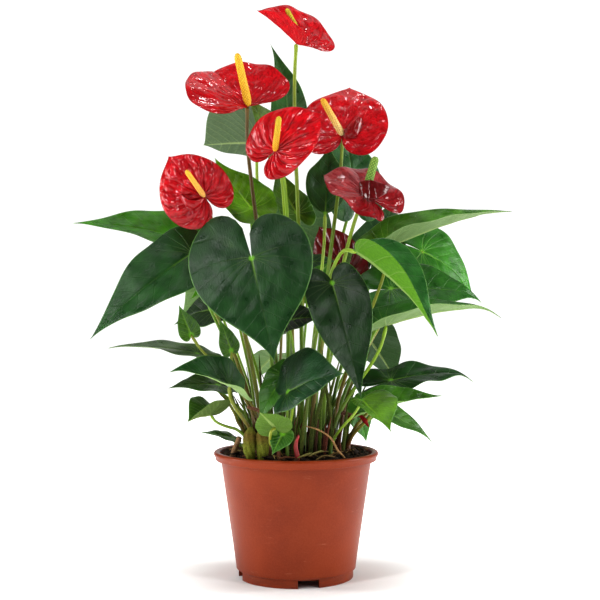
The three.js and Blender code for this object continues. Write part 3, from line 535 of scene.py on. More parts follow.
def spline(points, steps):
    """A smooth curve through points, with some steps between each two."""
    points = np.asarray(points, float)
    padded = np.concatenate([[2 * points[0] - points[1]], points, [2 * points[-1] - points[-2]]])
    out = []
    for i in range(1, len(padded) - 2):
        p, q, r, s = padded[i - 1:i + 3]
        for t in np.arange(steps) / steps:
            out.append(0.5 * (2 * q + (r - p) * t + (2 * p - 5 * q + 4 * r - s) * t * t
                              + (3 * q - p - 3 * r + s) * t ** 3))
    out.append(points[-1])
    return np.array(out)


def stick(shape, path, radii, sides, tone, relief=None, squash=1.0):
    """Adds a tube of one colour that carries no other attribute."""
    form = Shape()
    tube(form, path, radii, sides, 0, 0, relief, squash)
    shape.add(form.points[0], form.faces, 0, tone=tone)


def radii_along(path, radii):
    """Spreads a few radii evenly over the points of a path."""
    return np.interp(np.linspace(0, 1, len(path)), np.arange(len(radii)) / (len(radii) - 1), radii)


# ---------------------------------------------------------------- leaves and blooms, as the CAD has them

BIG_LEAF = 45
HEART_SINUS = 0.97
HEART_POINT = 0.09
SHORTEST_LOBE = 0.08
HEART_HALF = 0.56
EDGE_WAVES = 7
SPATHE_SPOKES = 14
SPATHE_THICKNESS = 1.1
GAP = 0.35
ROOT_DEPTH = 74
ROOT_NECK = 96
ROOT_LIMIT = 44
LOW_LEAF = 150
LOW_SPREAD = 0.8
HIGH_SPREAD = 0.38
STEM_STEPS = 7
STEM_BASE = 1.25
STEM_TAPER = 0.35
STEM_HANDLE = 0.35
STEM_HANDLE_MAX = 45
STEM_LEAN = 0.12
STEM_RISE = 0.45
BRANCH_DEPTH = 5
PETIOLE_LEAN = 0.43
STALK_LEAN = 0.65
STALK_RADIUS = 1.8
STALK_TILT = 0.5
STEM_CLEARANCE = 2
STEM_PUSH = 0.5
BLADE_CLEARANCE = 8
BLADE_PUSH = 0.15
SETTLE_ROUNDS = 60

COMMON_SHAPE = {"tuck": 0, "span": 1, "skew": 0, "wave": 1, "foot": None, "arrive": None,
                "hook": 0, "bow": 0, "trim": 0, "trimmed": (0.42, 0.85)}
LEAF_SHAPE = {**COMMON_SHAPE, "lobes": 0.56, "recede": 0.25, "ribs": 0, "veined": 0.4}

# What the words of the tables say, if a row gives them:
#   lobes     how much of the midrib's length the lobes reach; recede takes from it towards the notch
#   tuck      a further recede on the side of negative angles; skew makes one side wider
#   span      how far round the joint the blade goes, 1 for all the way
#   wave      the height of the edge's ripple; ribs the height of the ribs in the CAD's spathes
#   foot      x and y of the place where the stem leaves the soil
#   arrive    the way the stem points where it meets the blade
#   hook      bends the tip down, in degrees; bow moves the middle sideways
#   trim      takes length off the lobes, between the two shares in trimmed
#   veined    how clearly the veins show


def leaf(node, joint, tip, face, bend, top, under, **more):
    """
    A row of the table. Joint and tip are the midrib's ends, face the way that the upper side looks, bend
    the width, droop, fold and curl, and top and under the colours of the two sides.
    """
    width, droop, fold, curl = bend
    return {**LEAF_SHAPE, **dict(node=node, joint=joint, tip=tip, face=face, width=width, droop=droop,
                                 fold=fold, curl=curl, top=top, under=under), **more}


LEAVES = [
    leaf("leaf_front_heart", (-30, -60, 230), (-14, -76, 160), (-0.1, -1, 0.2), (0.98, 20, 4, -14),
         (22, 62, 26), (96, 130, 84), veined=0.12, recede=-0.32, tuck=0.32),
    leaf("leaf_left_dark", (-73, -34, 234), (-142, -50, 174), (-0.1, -0.8, 0.6), (0.54, 30, 10, -10),
         (24, 70, 24), (100, 134, 70), veined=0.15, trim=0.95, trimmed=(0.5, 0.85), wave=1.5),
    leaf("leaf_left_high", (-77, 22, 244), (-162, -8, 257), (0.1, -0.6, 0.8), (0.52, 25, 10, 14),
         (56, 122, 18), (142, 166, 104), recede=0.4, wave=1.5),
    leaf("leaf_upper_left", (-30, 52, 323), (-74, 74, 324), (-0.1, 0.75, 0.65), (0.85, 20, 6, -8),
         (44, 84, 46), (86, 108, 74), lobes=0.8, recede=0.7, skew=-0.5),
    leaf("shoot_high", (-34, 28, 271), (-63, 44, 311), (0.35, -0.85, 0.4), (0.8, -15, 8, 10),
         (84, 136, 18), (120, 160, 50), recede=0.4),
    leaf("shoot_high", (0, 38, 268), (-17, 52, 306), (0.5, -0.8, 0.3), (0.7, -10, 6, 8), (62, 106, 20),
         (110, 150, 60), recede=0.4),
    leaf("leaf_dark_centre", (22, 36, 267), (26, 66, 325), (0, -0.8, 0.5), (0.72, -10, 22, 10),
         (32, 82, 34), (84, 120, 72), veined=0.15, arrive=(0, 0.3, 1), recede=0.1, trim=0.95,
         trimmed=(0.16, 0.5)),
    leaf("leaf_tall_right", (46, 76, 284), (38, 94, 345), (0.3, -0.9, 0.3), (0.75, 15, 8, -8),
         (34, 88, 44), (96, 134, 96), recede=0.35),
    leaf("leaf_tall_back", (-8, 60, 338), (-21, 74, 405), (0.3, -0.9, 0.2), (0.44, -25, 12, 10),
         (36, 84, 38), (110, 138, 116), recede=0.45, bow=7, trim=0.6),
    leaf("leaf_top_pale", (-14, 22, 313), (-37, 14, 354), (0.5, -0.7, 0.4), (0.75, 15, 15, 2),
         (96, 136, 56), (128, 156, 90), arrive=(-0.2, 0, 1), recede=0.45),
    leaf("leaf_grey_right", (62, 76, 236), (80, 94, 284), (-0.2, -0.9, 0.4), (0.8, 10, 6, -8),
         (58, 92, 66), (110, 140, 112)),
    leaf("leaf_right_round", (100, 72, 240), (143, 92, 202), (0.3, -0.75, 0.6), (0.85, 50, 4, -10),
         (52, 120, 30), (128, 160, 96), recede=-0.6),
    leaf("leaf_right_long", (68, 14, 241), (162, 24, 270), (-0.2, -0.3, 1), (0.6, 16, 30, 14),
         (72, 128, 34), (120, 146, 92), recede=0.5, lobes=0.45, hook=4),
    leaf("leaf_front_folded", (41, -66, 234), (93, -98, 178), (0.68, -0.15, 0.73), (0.5, 25, 48, 8),
         (44, 104, 46), (84, 134, 18), veined=0.3, foot=(6, -22), arrive=(0.4, -0.8, -0.45), recede=-1,
         tuck=1, trim=0.95, trimmed=(0.36, 0.58), skew=-0.3, wave=0.5),
    leaf("leaf_front_right", (25, -52, 213), (44, -78, 135), (0.1, -1, 0.3), (0.58, 20, 18, -5),
         (18, 50, 18), (70, 100, 60), veined=0.1, recede=1.1),
    leaf("leaf_right_mid", (72, 34, 210), (146, 44, 204), (0.1, -0.75, 0.7), (0.68, 25, 10, -8),
         (38, 98, 24), (120, 150, 90), recede=0.4, wave=1.5, hook=20),
    leaf("leaf_right_low_long", (65, -14, 183), (152, 6, 195), (-0.15, -0.15, 1), (0.55, 25, 24, 8),
         (42, 98, 28), (124, 154, 92), recede=0.4, lobes=0.5, hook=16),
    leaf("shoot_right", (70, 6, 142), (135, 26, 144), (-0.1, -0.45, 0.9), (0.5, 25, 12, -10),
         (24, 66, 24), (90, 124, 66), foot=(38, -6), wave=2.5, hook=15),
    leaf("shoot_right", (56, -20, 124), (106, -12, 132), (-0.1, -0.5, 0.9), (0.55, 20, 24, 26),
         (66, 118, 34), (112, 152, 70)),
    leaf("leaf_front_young_right", (45, -58, 133), (63, -86, 114), (0.4, -0.9, 0.4), (0.75, 25, 10, -8),
         (84, 132, 20), (110, 170, 60), trim=0.9, trimmed=(0.5, 0.8), skew=-0.5),
    leaf("shoot_right_rim", (62, 22, 119), (103, 30, 94), (0.4, -0.5, 0.8), (0.5, 30, 12, -8),
         (66, 112, 46), (104, 142, 80), recede=0.4, wave=0.5),
    leaf("shoot_right_rim", (46, 36, 120), (54, 46, 92), (0.4, -0.9, 0.3), (0.7, 15, 10, -8),
         (50, 112, 22), (100, 140, 60), recede=0.4, wave=0.5),
    leaf("shoot_front_low", (-5, -62, 139), (32, -82, 153), (0.1, -0.75, 0.65), (0.95, 30, 10, -12),
         (20, 62, 34), (84, 120, 70), veined=0.2, foot=(-6, -38), recede=0.5, skew=-0.3, lobes=0.66),
    leaf("shoot_front_low", (-9, -44, 149), (-26, -54, 116), (-0.5, -0.8, 0.3), (0.6, 15, 12, -6),
         (50, 100, 24), (96, 136, 50), veined=0.2, recede=0.4),
    leaf("shoot_front", (-14, -66, 115), (-24, -79, 127), (0.2, 0.8, 0.4), (1.2, 15, 6, -6),
         (84, 124, 40), (92, 126, 42), veined=0.15, foot=(-12, -42), wave=0.5),
    leaf("shoot_front", (-9, -60, 110), (-16, -68, 97), (0, -0.9, 0.4), (0.9, 15, 8, -8), (44, 92, 20),
         (90, 140, 60), veined=0.15, wave=0.5),
    leaf("leaf_left_long", (-72, -2, 162), (-137, -4, 168), (0.1, -0.2, 1), (0.6, 20, 10, -8),
         (74, 100, 70), (142, 156, 108), recede=0.4, lobes=0.48, hook=4),
    leaf("leaf_left_low", (-46, -48, 142), (-84, -70, 157), (0.3, -0.45, 0.9), (0.85, 25, 14, 30),
         (24, 74, 26), (146, 176, 112), veined=0.2, recede=0.35, hook=20),
    leaf("leaf_left_lower", (-56, -16, 140), (-90, -34, 139), (0, -0.35, 0.9), (0.8, 20, 8, -8),
         (22, 58, 18), (90, 120, 70), recede=0.35),
    leaf("shoot_left", (-61, -18, 119), (-76, -38, 116), (-0.2, -0.3, 0.9), (1.35, 25, 46, -5),
         (74, 112, 48), (110, 136, 72), wave=0.5),
    leaf("shoot_left", (-46, -8, 101), (-68, -16, 107), (0, -0.3, 0.95), (0.7, 20, 8, -8), (56, 98, 40),
         (96, 130, 70), wave=0.5),
    leaf("shoot_left_mid", (-74, -32, 177), (-82, -36, 198), (0.1, -0.9, 0.3), (0.66, -10, 8, 8),
         (66, 110, 34), (100, 140, 60), foot=(-22, -27), trim=0.9, veined=0.15, wave=0.5),
    leaf("shoot_left_mid", (-46, -32, 166), (-54, -36, 189), (0.4, -0.8, 0.2), (0.6, 10, 8, -6),
         (62, 104, 34), (100, 134, 60), trim=0.9, veined=0.15, wave=0.5),
    leaf("shoot_left_rear", (-60, 46, 196), (-96, 66, 182), (-0.1, -0.7, 0.7), (0.85, 25, 8, -8),
         (22, 46, 20), (80, 108, 64), foot=(-28, 2), recede=0.35),
    leaf("shoot_left_rear", (-50, 0, 223), (-76, -14, 202), (-0.4, -0.8, 0.4), (0.7, 15, 8, -8),
         (92, 160, 26), (120, 170, 60), recede=0.4),
    leaf("leaf_centre_dark", (-6, -38, 187), (20, -52, 190), (0, -0.75, 0.65), (0.8, 20, 8, -8),
         (20, 42, 26), (76, 104, 66), recede=0.35),
    leaf("shoot_centre", (4, 50, 229), (32, 40, 231), (0, -0.6, 0.8), (0.8, 20, 8, -8), (34, 70, 44),
         (86, 120, 76), recede=0.35),
    leaf("shoot_centre", (6, 52, 212), (29, 46, 233), (0.2, 0.9, 0.3), (0.8, 10, 6, -6), (80, 140, 46),
         (86, 146, 50)),
    leaf("leaf_back_high", (-4, 80, 262), (6, 95, 200), (0.1, 0.9, 0.4), (0.9, 25, 6, -10), (26, 70, 30),
         (96, 130, 84)),
    leaf("shoot_back", (-54, 74, 218), (-94, 92, 184), (-0.4, 0.6, 0.7), (0.9, 30, 8, -8), (40, 98, 26),
         (110, 142, 84), wave=1.5),
    leaf("shoot_back", (-20, 70, 156), (-36, 94, 134), (-0.2, 0.5, 0.8), (0.9, 25, 8, -8), (46, 104, 28),
         (110, 146, 80)),
    leaf("leaf_back_right", (54, 77, 175), (82, 94, 133), (0.4, 0.7, 0.5), (0.9, 25, 8, -8),
         (26, 74, 28), (50, 82, 40), veined=0.05, recede=0.35, wave=1.5),
]

CRIMSON = (194, 4, 20)
CRIMSON_UNDER = (196, 4, 22)
MAROON_UNDER = (150, 40, 48)
YELLOW = (252, 208, 56)
SPATHE_SHAPE = {**COMMON_SHAPE, "lobes": 0.8, "recede": 0.5, "ribs": 0.7, "lift": 1.3, "top": CRIMSON,
                "under": CRIMSON_UNDER, "rear": None}

# Spadix is the way from a spadix's foot to its tip, lift its gap from the spathe, spike its colours at the
# base and the tip, and stalk those of the stalk. Rear is the colour of the lobes behind the joint. Grooves
# and puckers are how deep the face's grooves and how strong its blisters are.
BLOOMS = [
    dict(joint=(1, 20, 393), tip=(-29, 16, 417), face=(0.6, 0.07, 0.8), width=0.82, lobes=0.85,
         recede=-0.35, tuck=1.3, span=0.78, skew=0.4, droop=12, fold=54, curl=-6, foot=(6, 13),
         arrive=(0.1, -0.1, 1), lift=4.8, spadix=(-12, -4, 22), radius=2.1,
         spike=((206, 196, 40), (214, 206, 50)), stalk=((92, 128, 30), (150, 172, 40)), grooves=0.45,
         puckers=1.0),
    dict(joint=(-35, -12, 341), tip=(-61, 14, 371), face=(0.05, -0.6, 0.8), width=0.98, lobes=1,
         recede=0.15, span=0.62, skew=-0.06, droop=14, fold=22, curl=-10, lift=2.4, spadix=(-7, -20, 32),
         radius=3, spike=((240, 190, 34), YELLOW), stalk=((46, 34, 8), (112, 88, 22)), grooves=0.35,
         puckers=0.6),
    dict(joint=(-14, -34, 307), tip=(19, -28, 334), face=(-0.1, -1, 0.3), width=0.75, recede=0.45,
         skew=-0.14, droop=35, fold=4, curl=-14, spadix=(3, -14, 21), radius=2.3,
         spike=((244, 176, 30), (216, 200, 44)), stalk=((104, 146, 30), (140, 176, 40)), grooves=1.2,
         puckers=0.4),
    dict(joint=(34, 8, 323), tip=(41, 46, 365), face=(-0.1, -0.8, 0.5), width=0.86, recede=0.8, droop=25,
         fold=4, curl=-10, spadix=(-15, -18, 23), radius=2.6, spike=((244, 226, 176), (248, 196, 40)),
         stalk=((96, 136, 30), (136, 164, 44)), grooves=0.45, puckers=0.8),
    # The fifth bloom's darker crimson is painted shade, holding down the key light that falls full on it.
    dict(joint=(-64, -42, 274), tip=(-90, -30, 303), face=(-0.3, -0.9, 0.4), width=0.86, recede=0.5,
         skew=-0.12, droop=30, fold=4, curl=-14, top=(180, 3, 16), spadix=(-11, -14, 16), radius=2,
         spike=((240, 186, 110), (252, 206, 60)), stalk=((110, 130, 40), (170, 122, 60)), grooves=1.1,
         puckers=1.3),
    # The sixth bloom has faded: its greyish maroon top is partly its own colour and partly a painted sheen.
    dict(joint=(49, -16, 277), tip=(20, -8, 292), face=(-0.2, -0.42, 0.88), width=0.95, lobes=0.9,
         recede=-0.3, tuck=0.35, skew=0.2, droop=20, fold=8, curl=-10, wave=2, top=(166, 62, 64),
         rear=(154, 8, 20), under=MAROON_UNDER, lift=2, spadix=(7, -5, 25), radius=3.2,
         spike=((96, 142, 30), (156, 190, 70)), stalk=((110, 146, 30), (150, 176, 44)), grooves=0.4,
         puckers=0.45),
    # The seventh bloom's dark reds are partly its faded colour and partly painted shade, as it sits deep
    # inside the plant.
    dict(joint=(38, 60, 224), tip=(18, 74, 260), face=(-0.4, -0.8, 0.3), width=0.65, recede=0.5,
         droop=15, fold=10, curl=-10, wave=2, top=(112, 20, 28), under=(96, 24, 30), lift=1.9,
         spadix=(4, -14, 15), radius=2.6, spike=((60, 100, 24), (80, 120, 30)),
         stalk=((110, 146, 30), (140, 170, 40)), grooves=1.2, puckers=0.25),
]


def heart_radius(share, lobes, recede):
    """From the petiole to the edge of a heart 1 long. Share is 0 at the tip and 1 at the notch."""
    lobe = lobes * np.maximum(1 - recede * share ** 2, SHORTEST_LOBE) * np.sqrt(1 - share ** 8)
    return lobe + (1 - lobes) * np.exp(-((share / HEART_POINT) ** 0.75))


def spoke_number(angle):
    """How far round the blade a spoke of the CAD's mesh stands, from -1 to 1."""
    return np.sign(angle) * (np.abs(angle) / HEART_SINUS) ** (1 / 1.2)


class Blade:
    """The bent surface of a leaf or spathe."""

    def __init__(self, leaf):
        self.leaf = leaf
        self.joint = np.array(leaf["joint"], float)
        chord = np.array(leaf["tip"], float) - self.joint
        self.chord = np.linalg.norm(chord)
        self.along = unit(chord)
        face = np.array(leaf["face"], float)
        self.up = unit(face - self.along * (face @ self.along))
        self.side = np.cross(self.along, self.up)
        self.droop, self.fold, self.curl = (math.radians(leaf[key]) for key in ("droop", "fold", "curl"))
        self.length = self.chord * (self.droop / 2) / math.sin(self.droop / 2)
        self.half_width = HEART_HALF * self.length * leaf["width"]

    def flat(self, angle, reach):
        """Millimetres along and beside the midrib, and from there to the edge, if the blade lay flat."""
        leaf = self.leaf
        share = np.abs(angle)
        recede = leaf["recede"] + np.where(angle < 0, leaf["tuck"], 0)
        edge = self.length * heart_radius(share, leaf["lobes"], recede)
        start, end = leaf["trimmed"]
        edge = edge * (1 - leaf["trim"] * np.clip((share - start) / (end - start), 0, 1) ** 1.5)
        a = edge * reach * np.cos(share * leaf["span"] * np.pi)
        width = leaf["width"] * (1 + leaf["skew"] * np.sign(angle))
        b = edge * reach * np.sin(share * leaf["span"] * np.pi) * width
        return a, b, edge * (1 - reach)

    def surface(self, angle, reach, ribs=None):
        """Points and upward normals. Angle is -1 to 1 with 0 at the tip, reach is 1 on the edge."""
        leaf = self.leaf
        ribs = leaf["ribs"] if ribs is None else ribs
        angle, reach = np.broadcast_arrays(np.asarray(angle, float), np.asarray(reach, float))
        a, b, _ = self.flat(angle, reach)
        share = np.abs(angle)
        bow = self.length / self.droop
        tilt = self.droop / 2 - self.droop * a / self.length
        x = bow * (math.sin(self.droop / 2) - np.sin(tilt))
        z = bow * (np.cos(tilt) - math.cos(self.droop / 2))
        across = self.fold + self.curl * b / self.half_width
        roll = self.half_width / self.curl
        out = roll * (np.sin(across) - math.sin(self.fold))
        ripple = leaf["wave"] * reach ** 2 * np.sin(EDGE_WAVES * share * np.pi + self.joint[0])
        rib = ribs * reach * np.cos(SPATHE_SPOKES * np.pi / 2 * spoke_number(angle))
        rise = roll * (math.cos(self.fold) - np.cos(across)) + (ripple + rib) * np.sin(share * np.pi)
        above = self.up * np.cos(tilt)[..., None] - self.along * np.sin(tilt)[..., None]
        left = self.side * np.sign(angle)[..., None]
        point = self.joint + self.along * x[..., None] + self.up * z[..., None]
        point = point + left * out[..., None] + above * rise[..., None]
        slope = np.where(angle == 0, 0, across)
        normal = above * np.cos(slope)[..., None] - left * np.sin(slope)[..., None]
        return point, normal


# ---------------------------------------------------------------- courses of the stems

def stem_course(blade, foot, overshoot, lean):
    """The points of a stem from the soil to a blade's joint, and past it by the overshoot."""
    _, normal = blade.surface(0, 0)
    end = blade.joint + normal * overshoot
    neck = np.array([foot[0], foot[1], ROOT_NECK], float)
    rise = end - neck
    arrival = unit(rise) * (1 - lean) + normal * lean
    if blade.leaf["arrive"]:
        arrival = np.array(blade.leaf["arrive"], float)
    arrival = unit(arrival)
    handle = min(STEM_HANDLE * np.linalg.norm(rise), STEM_HANDLE_MAX)
    second = neck + rise * (STEM_LEAN, STEM_LEAN, STEM_RISE)
    third = end - arrival * handle
    path = [np.array([foot[0], foot[1], ROOT_DEPTH], float)]
    for t in np.arange(STEM_STEPS) / (STEM_STEPS - 1):
        s = 1 - t
        path.append(s ** 3 * neck + 3 * s * s * t * second + 3 * s * t * t * third + t ** 3 * end)
    return np.array(path)


def foot_of(leaf):
    """Where a stem leaves the soil, unless the row of the leaf says it."""
    if leaf["foot"]:
        return leaf["foot"]
    x, y, z = leaf["joint"]
    spread = LOW_SPREAD if z < LOW_LEAF else HIGH_SPREAD
    reach = min(spread, (ROOT_LIMIT - 4) / math.hypot(x, y))
    return (reach * x, reach * y)


def settle(stems):
    """Eases the stems apart and clear of the blades, as the CAD does."""
    paths = np.array([stem["path"] for stem in stems])
    nodes = np.array([stem["node"] for stem in stems])
    radius = np.array([stem["radius"] for stem in stems])
    first = [int(np.argmax(nodes == node)) for node in nodes]
    angle, reach = np.meshgrid(np.arange(-8, 9) / 8 * HEART_SINUS, (0.3, 0.55, 0.8, 1), indexing="ij")
    spots = np.array([stem["blade"].surface(angle, reach)[0].reshape(-1, 3) for stem in stems])
    other_node = nodes[:, None] != nodes[None, :]
    other_stem = ~np.eye(len(stems), dtype=bool)
    room = radius[:, None] + radius[None, :] + STEM_CLEARANCE
    for _ in range(SETTLE_ROUNDS):
        points = paths[:, 1:-1]
        start, span = paths[:, :-1], np.diff(paths, axis=1)
        gap = points[:, :, None, None] - start[None, None]
        t = np.clip((gap * span).sum(-1) / (span * span).sum(-1), 0, 1)
        nearest = start + span * t[..., None]
        away = points[:, :, None, None] - nearest
        distance = np.linalg.norm(away, axis=-1)
        pick = distance.argmin(-1)[..., None]
        distance = np.take_along_axis(distance, pick, -1)[..., 0]
        away = np.take_along_axis(away, pick[..., None], -2)[..., 0, :]
        short = np.maximum(room[:, None] - distance, 0) * other_node[:, None]
        push = (away / np.maximum(distance, 1e-9)[..., None] * (STEM_PUSH * short)[..., None]).sum(2)
        away = points[:, :, None, None] - spots[None, None]
        distance = np.linalg.norm(away, axis=-1)
        short = np.maximum(BLADE_CLEARANCE - distance, 0) * other_stem[:, None, :, None]
        push += (away / np.maximum(distance, 1e-9)[..., None] * (BLADE_PUSH * short)[..., None]).sum((2, 3))
        around = np.zeros_like(paths)
        around[:, 1:-1] = push
        move = 0.5 * push + 0.25 * (around[:, :-2] + around[:, 2:])
        move[:, 0, 2] = 0
        paths[:, 1:-1] += move
        for index, path in enumerate(paths):
            neck = paths[first[index], 1, :2].copy()
            reach_out = math.hypot(*neck)
            path[1, :2] = neck * min(1, ROOT_LIMIT / reach_out)
            path[0, :2] = path[1, :2]
    for stem, path in zip(stems, paths):
        stem["path"] = path


def plant_stems():
    """One entry for each leaf and then for each bloom, with its blade and the course of its stem."""
    feet = {}
    stems = []
    for leaf in LEAVES:
        blade = Blade(leaf)
        branch = leaf["node"] in feet
        feet.setdefault(leaf["node"], foot_of(leaf))
        path = stem_course(blade, feet[leaf["node"]], 0, PETIOLE_LEAN)
        if branch:
            path[0, 2] = ROOT_NECK - BRANCH_DEPTH
        big = blade.chord > BIG_LEAF
        stems.append(dict(node=leaf["node"], blade=blade, branch=branch, big=big, path=path,
                          radius=1.7 if big else 1.3))
    for index, row in enumerate(BLOOMS):
        bloom = {**SPATHE_SHAPE, **row}
        blade = Blade(bloom)
        stop = -(SPATHE_THICKNESS / 2 + GAP + STALK_TILT)
        stems.append(dict(node=f"stalk_{index + 1}", blade=blade, branch=False, radius=STALK_RADIUS,
                          path=stem_course(blade, foot_of(bloom), stop, STALK_LEAN)))
    settle(stems)
    return stems


# ---------------------------------------------------------------- fine blades

VEIN_SLANT = 0.75
VEIN_BOW = 0.45
SIDE_VEINS = 6
BASE_VEINS = 3
HOOK_START = 0.72                 # of the way to the tip
RING_CROWDING = 1.25
BIG_NET = (96, 30)                # spokes and rings of a blade's mesh
SMALL_NET = (56, 18)
SPATHE_NET = (220, 64)
LEAF_THICKNESS = 0.55
SPATHE_SKIN = 0.7                 # thinner than the CAD's, because blisters add to it
PETIOLE_SLIM = 0.74
BRANCH_BASE = 0.7
# Petiole colours near the soil, then high up. The low ones are partly their own darker green and brown and
# partly painted shade of the crowded crown.
PETIOLE_LOW_WITH_SHADE = ((80, 108, 26), (50, 80, 22), (116, 64, 36), (92, 120, 30))
PETIOLE_HIGH = ((150, 186, 44), (128, 170, 40), (140, 150, 44), (158, 190, 60))


def vein_field(a, b, length):
    """A number that is whole on every side vein, and the millimetres from one to the next."""
    across = np.abs(b)
    q = a - VEIN_SLANT * across - VEIN_BOW * across ** 2 / length
    r = np.maximum(np.hypot(a, b), 0.5)
    ahead = q >= 0
    number = np.where(ahead, SIDE_VEINS * q / length, BASE_VEINS * q / r)
    pitch = np.where(ahead, length / SIDE_VEINS / 1.2, r / BASE_VEINS / 1.1)
    return number, pitch


def bend_tip(blade, points, a):
    """Hooks the tip down, and bows the blade to a side between its joint and its tip."""
    start = HOOK_START * blade.length
    past = np.maximum(a - start, 0)
    tilt = blade.droop / 2 - blade.droop * HOOK_START
    forward = blade.along * math.cos(tilt) + blade.up * math.sin(tilt)
    down = blade.along * math.sin(tilt) - blade.up * math.cos(tilt)
    angle = math.radians(blade.leaf["hook"]) * (past / (blade.length - start))
    points = points + forward * (past * (np.cos(angle) - 1))[..., None]
    points = points + down * (past * np.sin(angle))[..., None]
    part = np.clip(a / blade.length, 0, 1)
    return points + blade.side * (4 * blade.leaf["bow"] * part * (1 - part))[..., None]


def blade_net(spokes, rings):
    """The faces of a fan round point 0, and the points of its rim in order."""
    def at(spoke, ring):
        return 1 + spoke * rings + ring - 1 if ring else 0

    faces = []
    for spoke in range(spokes):
        faces.append((0, at(spoke + 1, 1), at(spoke, 1)))
        for ring in range(1, rings):
            faces.append((at(spoke, ring), at(spoke + 1, ring), at(spoke + 1, ring + 1), at(spoke, ring + 1)))
    rim = [at(0, ring) for ring in range(rings)] + [at(spoke, rings) for spoke in range(spokes + 1)]
    rim += [at(spokes, ring) for ring in range(rings - 1, 0, -1)]
    return faces, rim


def close_sheet(faces, rim, size):
    """Faces of the other side, whose points come after the first size ones, and of the edge between them."""
    under = [tuple(size + index for index in reversed(face)) for face in faces]
    hem = [(a, b, size + b, size + a) for a, b in zip(rim, rim[1:] + rim[:1])]
    return under, hem


def fine_blade(shape, blade, net, thickness, crowding, relief, tones, seed):
    """Adds a blade of two faces and a rounded edge. Relief gives the heights of both faces in millimetres."""
    spokes, rings = net
    even = np.linspace(-1, 1, spokes + 1)
    angles = np.sign(even) * HEART_SINUS * np.abs(even) ** crowding
    steps = 1 - (1 - np.arange(rings + 1) / rings) ** RING_CROWDING
    angle, reach = np.meshgrid(angles, steps[1:], indexing="ij")
    angle = np.concatenate([[0], angle.ravel()])
    reach = np.concatenate([[0], reach.ravel()])
    point, normal = blade.surface(angle, reach, ribs=0)
    a, b, edge = blade.flat(angle, reach)
    b = b * np.where(angle < 0, -1, 1)
    number, pitch, upper, lower, raised = relief(a, b, edge, blade.length, seed, angle, reach)
    sag = 0.6 * reach * value_noise(a / 17 + seed, b / 17, seed)
    point = bend_tip(blade, point, a) + normal * sag[:, None]
    thin = thickness / 2 * (0.25 + 0.75 * np.clip(edge / 1.5, 0, 1) ** 0.5)
    top = point + normal * (upper + thin)[:, None]
    bottom = point + normal * (lower - thin)[:, None]
    faces, rim = blade_net(spokes, rings)
    under, hem = close_sheet(faces, rim, len(point))
    shape.add(np.concatenate([top, bottom]), faces + under + hem,
              [0] * len(faces) + [1] * len(under) + [0] * len(hem),
              tone=np.concatenate([tone(a, blade.length) for tone in tones]),
              flat=np.tile(np.column_stack([a, b, a / blade.length]), (2, 1)),
              vein=np.tile(np.column_stack([number, pitch, edge]), (2, 1)), grain=(0, 0, 0),
              relief=np.tile(np.column_stack([raised] * 3), (2, 1)))


def leaf_relief(veined):
    """Sunk veins above, raised ones below, and a quilting between them."""
    def relief(a, b, edge, length, seed, angle, reach):
        number, pitch = vein_field(a, b, length)
        number = number + 0.12 * value_noise(a / 14, b / 14 + seed, seed + 1)
        inner = np.clip(edge / 6, 0, 1)
        swell = (0.1 + 0.5 * veined) * np.sin(np.pi * number) ** 2 * inner
        lumps = 0.6 * value_noise(a / 11, b / 9, seed + 5) + 0.2 * value_noise(a / 5, b / 4, seed + 6)
        quilt = swell * np.clip(np.hypot(a, b) / 14, 0, 1) + lumps * inner
        forward = np.clip(a / 6, 0, 1) * np.clip((length - a) / length * 1.4, 0, 1)
        groove = 0.45 * np.exp(-((b / 0.9) ** 2)) * forward
        ridge = 0.85 * np.exp(-((b / 0.8) ** 2)) * forward
        fine = 0.06 * value_noise(a / 1.8, b / 1.1, seed + 2) * inner
        return number, pitch, quilt - groove + fine, 0.6 * quilt - ridge, np.full(len(a), veined)

    return relief


def even_tone(colour, rear=None):
    """A face's colour, a little lighter towards the tip. Rear is the colour of the lobes at the back."""
    base = linear(colour)
    lobes = base if rear is None else linear(rear)

    def tone(a, length):
        lift = 1 + 0.25 * np.clip(a / length, -0.3, 1)
        behind = np.clip(0.35 - 5 * a / length, 0, 1)[:, None]
        return (base + (lobes - base) * behind) * lift[:, None]

    return tone


def petiole(shape, stem, slot):
    """The leaf's stalk, swollen where it meets the blade and where it leaves the soil."""
    course = spline(stem["path"], 9)
    share = np.linspace(0, 1, len(course))
    low = BRANCH_BASE if stem["branch"] else 1
    radii = stem["radius"] * (STEM_BASE - STEM_TAPER * share) * np.where(share < 0.15, low, 1)
    radii *= PETIOLE_SLIM + 0.12 * np.exp(-(((share - 0.1) / 0.06) ** 2))
    radii *= 1 + 0.3 * np.exp(-(((share - 0.95) / 0.03) ** 2))
    radii *= np.clip((1.004 - share) / 0.02, 0.35, 1) ** 0.5
    kind = int(abs(stem["path"][3][0]) * 10) % len(PETIOLE_LOW_WITH_SHADE)
    # Darker towards the soil, partly painted shade.
    tone = blend(PETIOLE_LOW_WITH_SHADE[kind], PETIOLE_HIGH[kind], np.clip(share * 1.7 - 0.25, 0, 1))
    tube(shape, course, radii, 12, slot, tone)


def leaf_piece(node, stems):
    shape = Shape()
    for stem in stems:
        leaf = stem["blade"].leaf
        seed = SEED + int(abs(leaf["tip"][0]) * 7 + leaf["tip"][2])
        net = BIG_NET if stem["big"] else SMALL_NET
        tones = even_tone(leaf["top"]), even_tone(leaf["under"])
        relief = leaf_relief(leaf["veined"])
        fine_blade(shape, stem["blade"], net, LEAF_THICKNESS, 1.5, relief, tones, seed)
        petiole(shape, stem, 2)
    shape.build(f"{node}_fine", ("leaf_top", "leaf_under", "stem"), node)


# ---------------------------------------------------------------- blooms

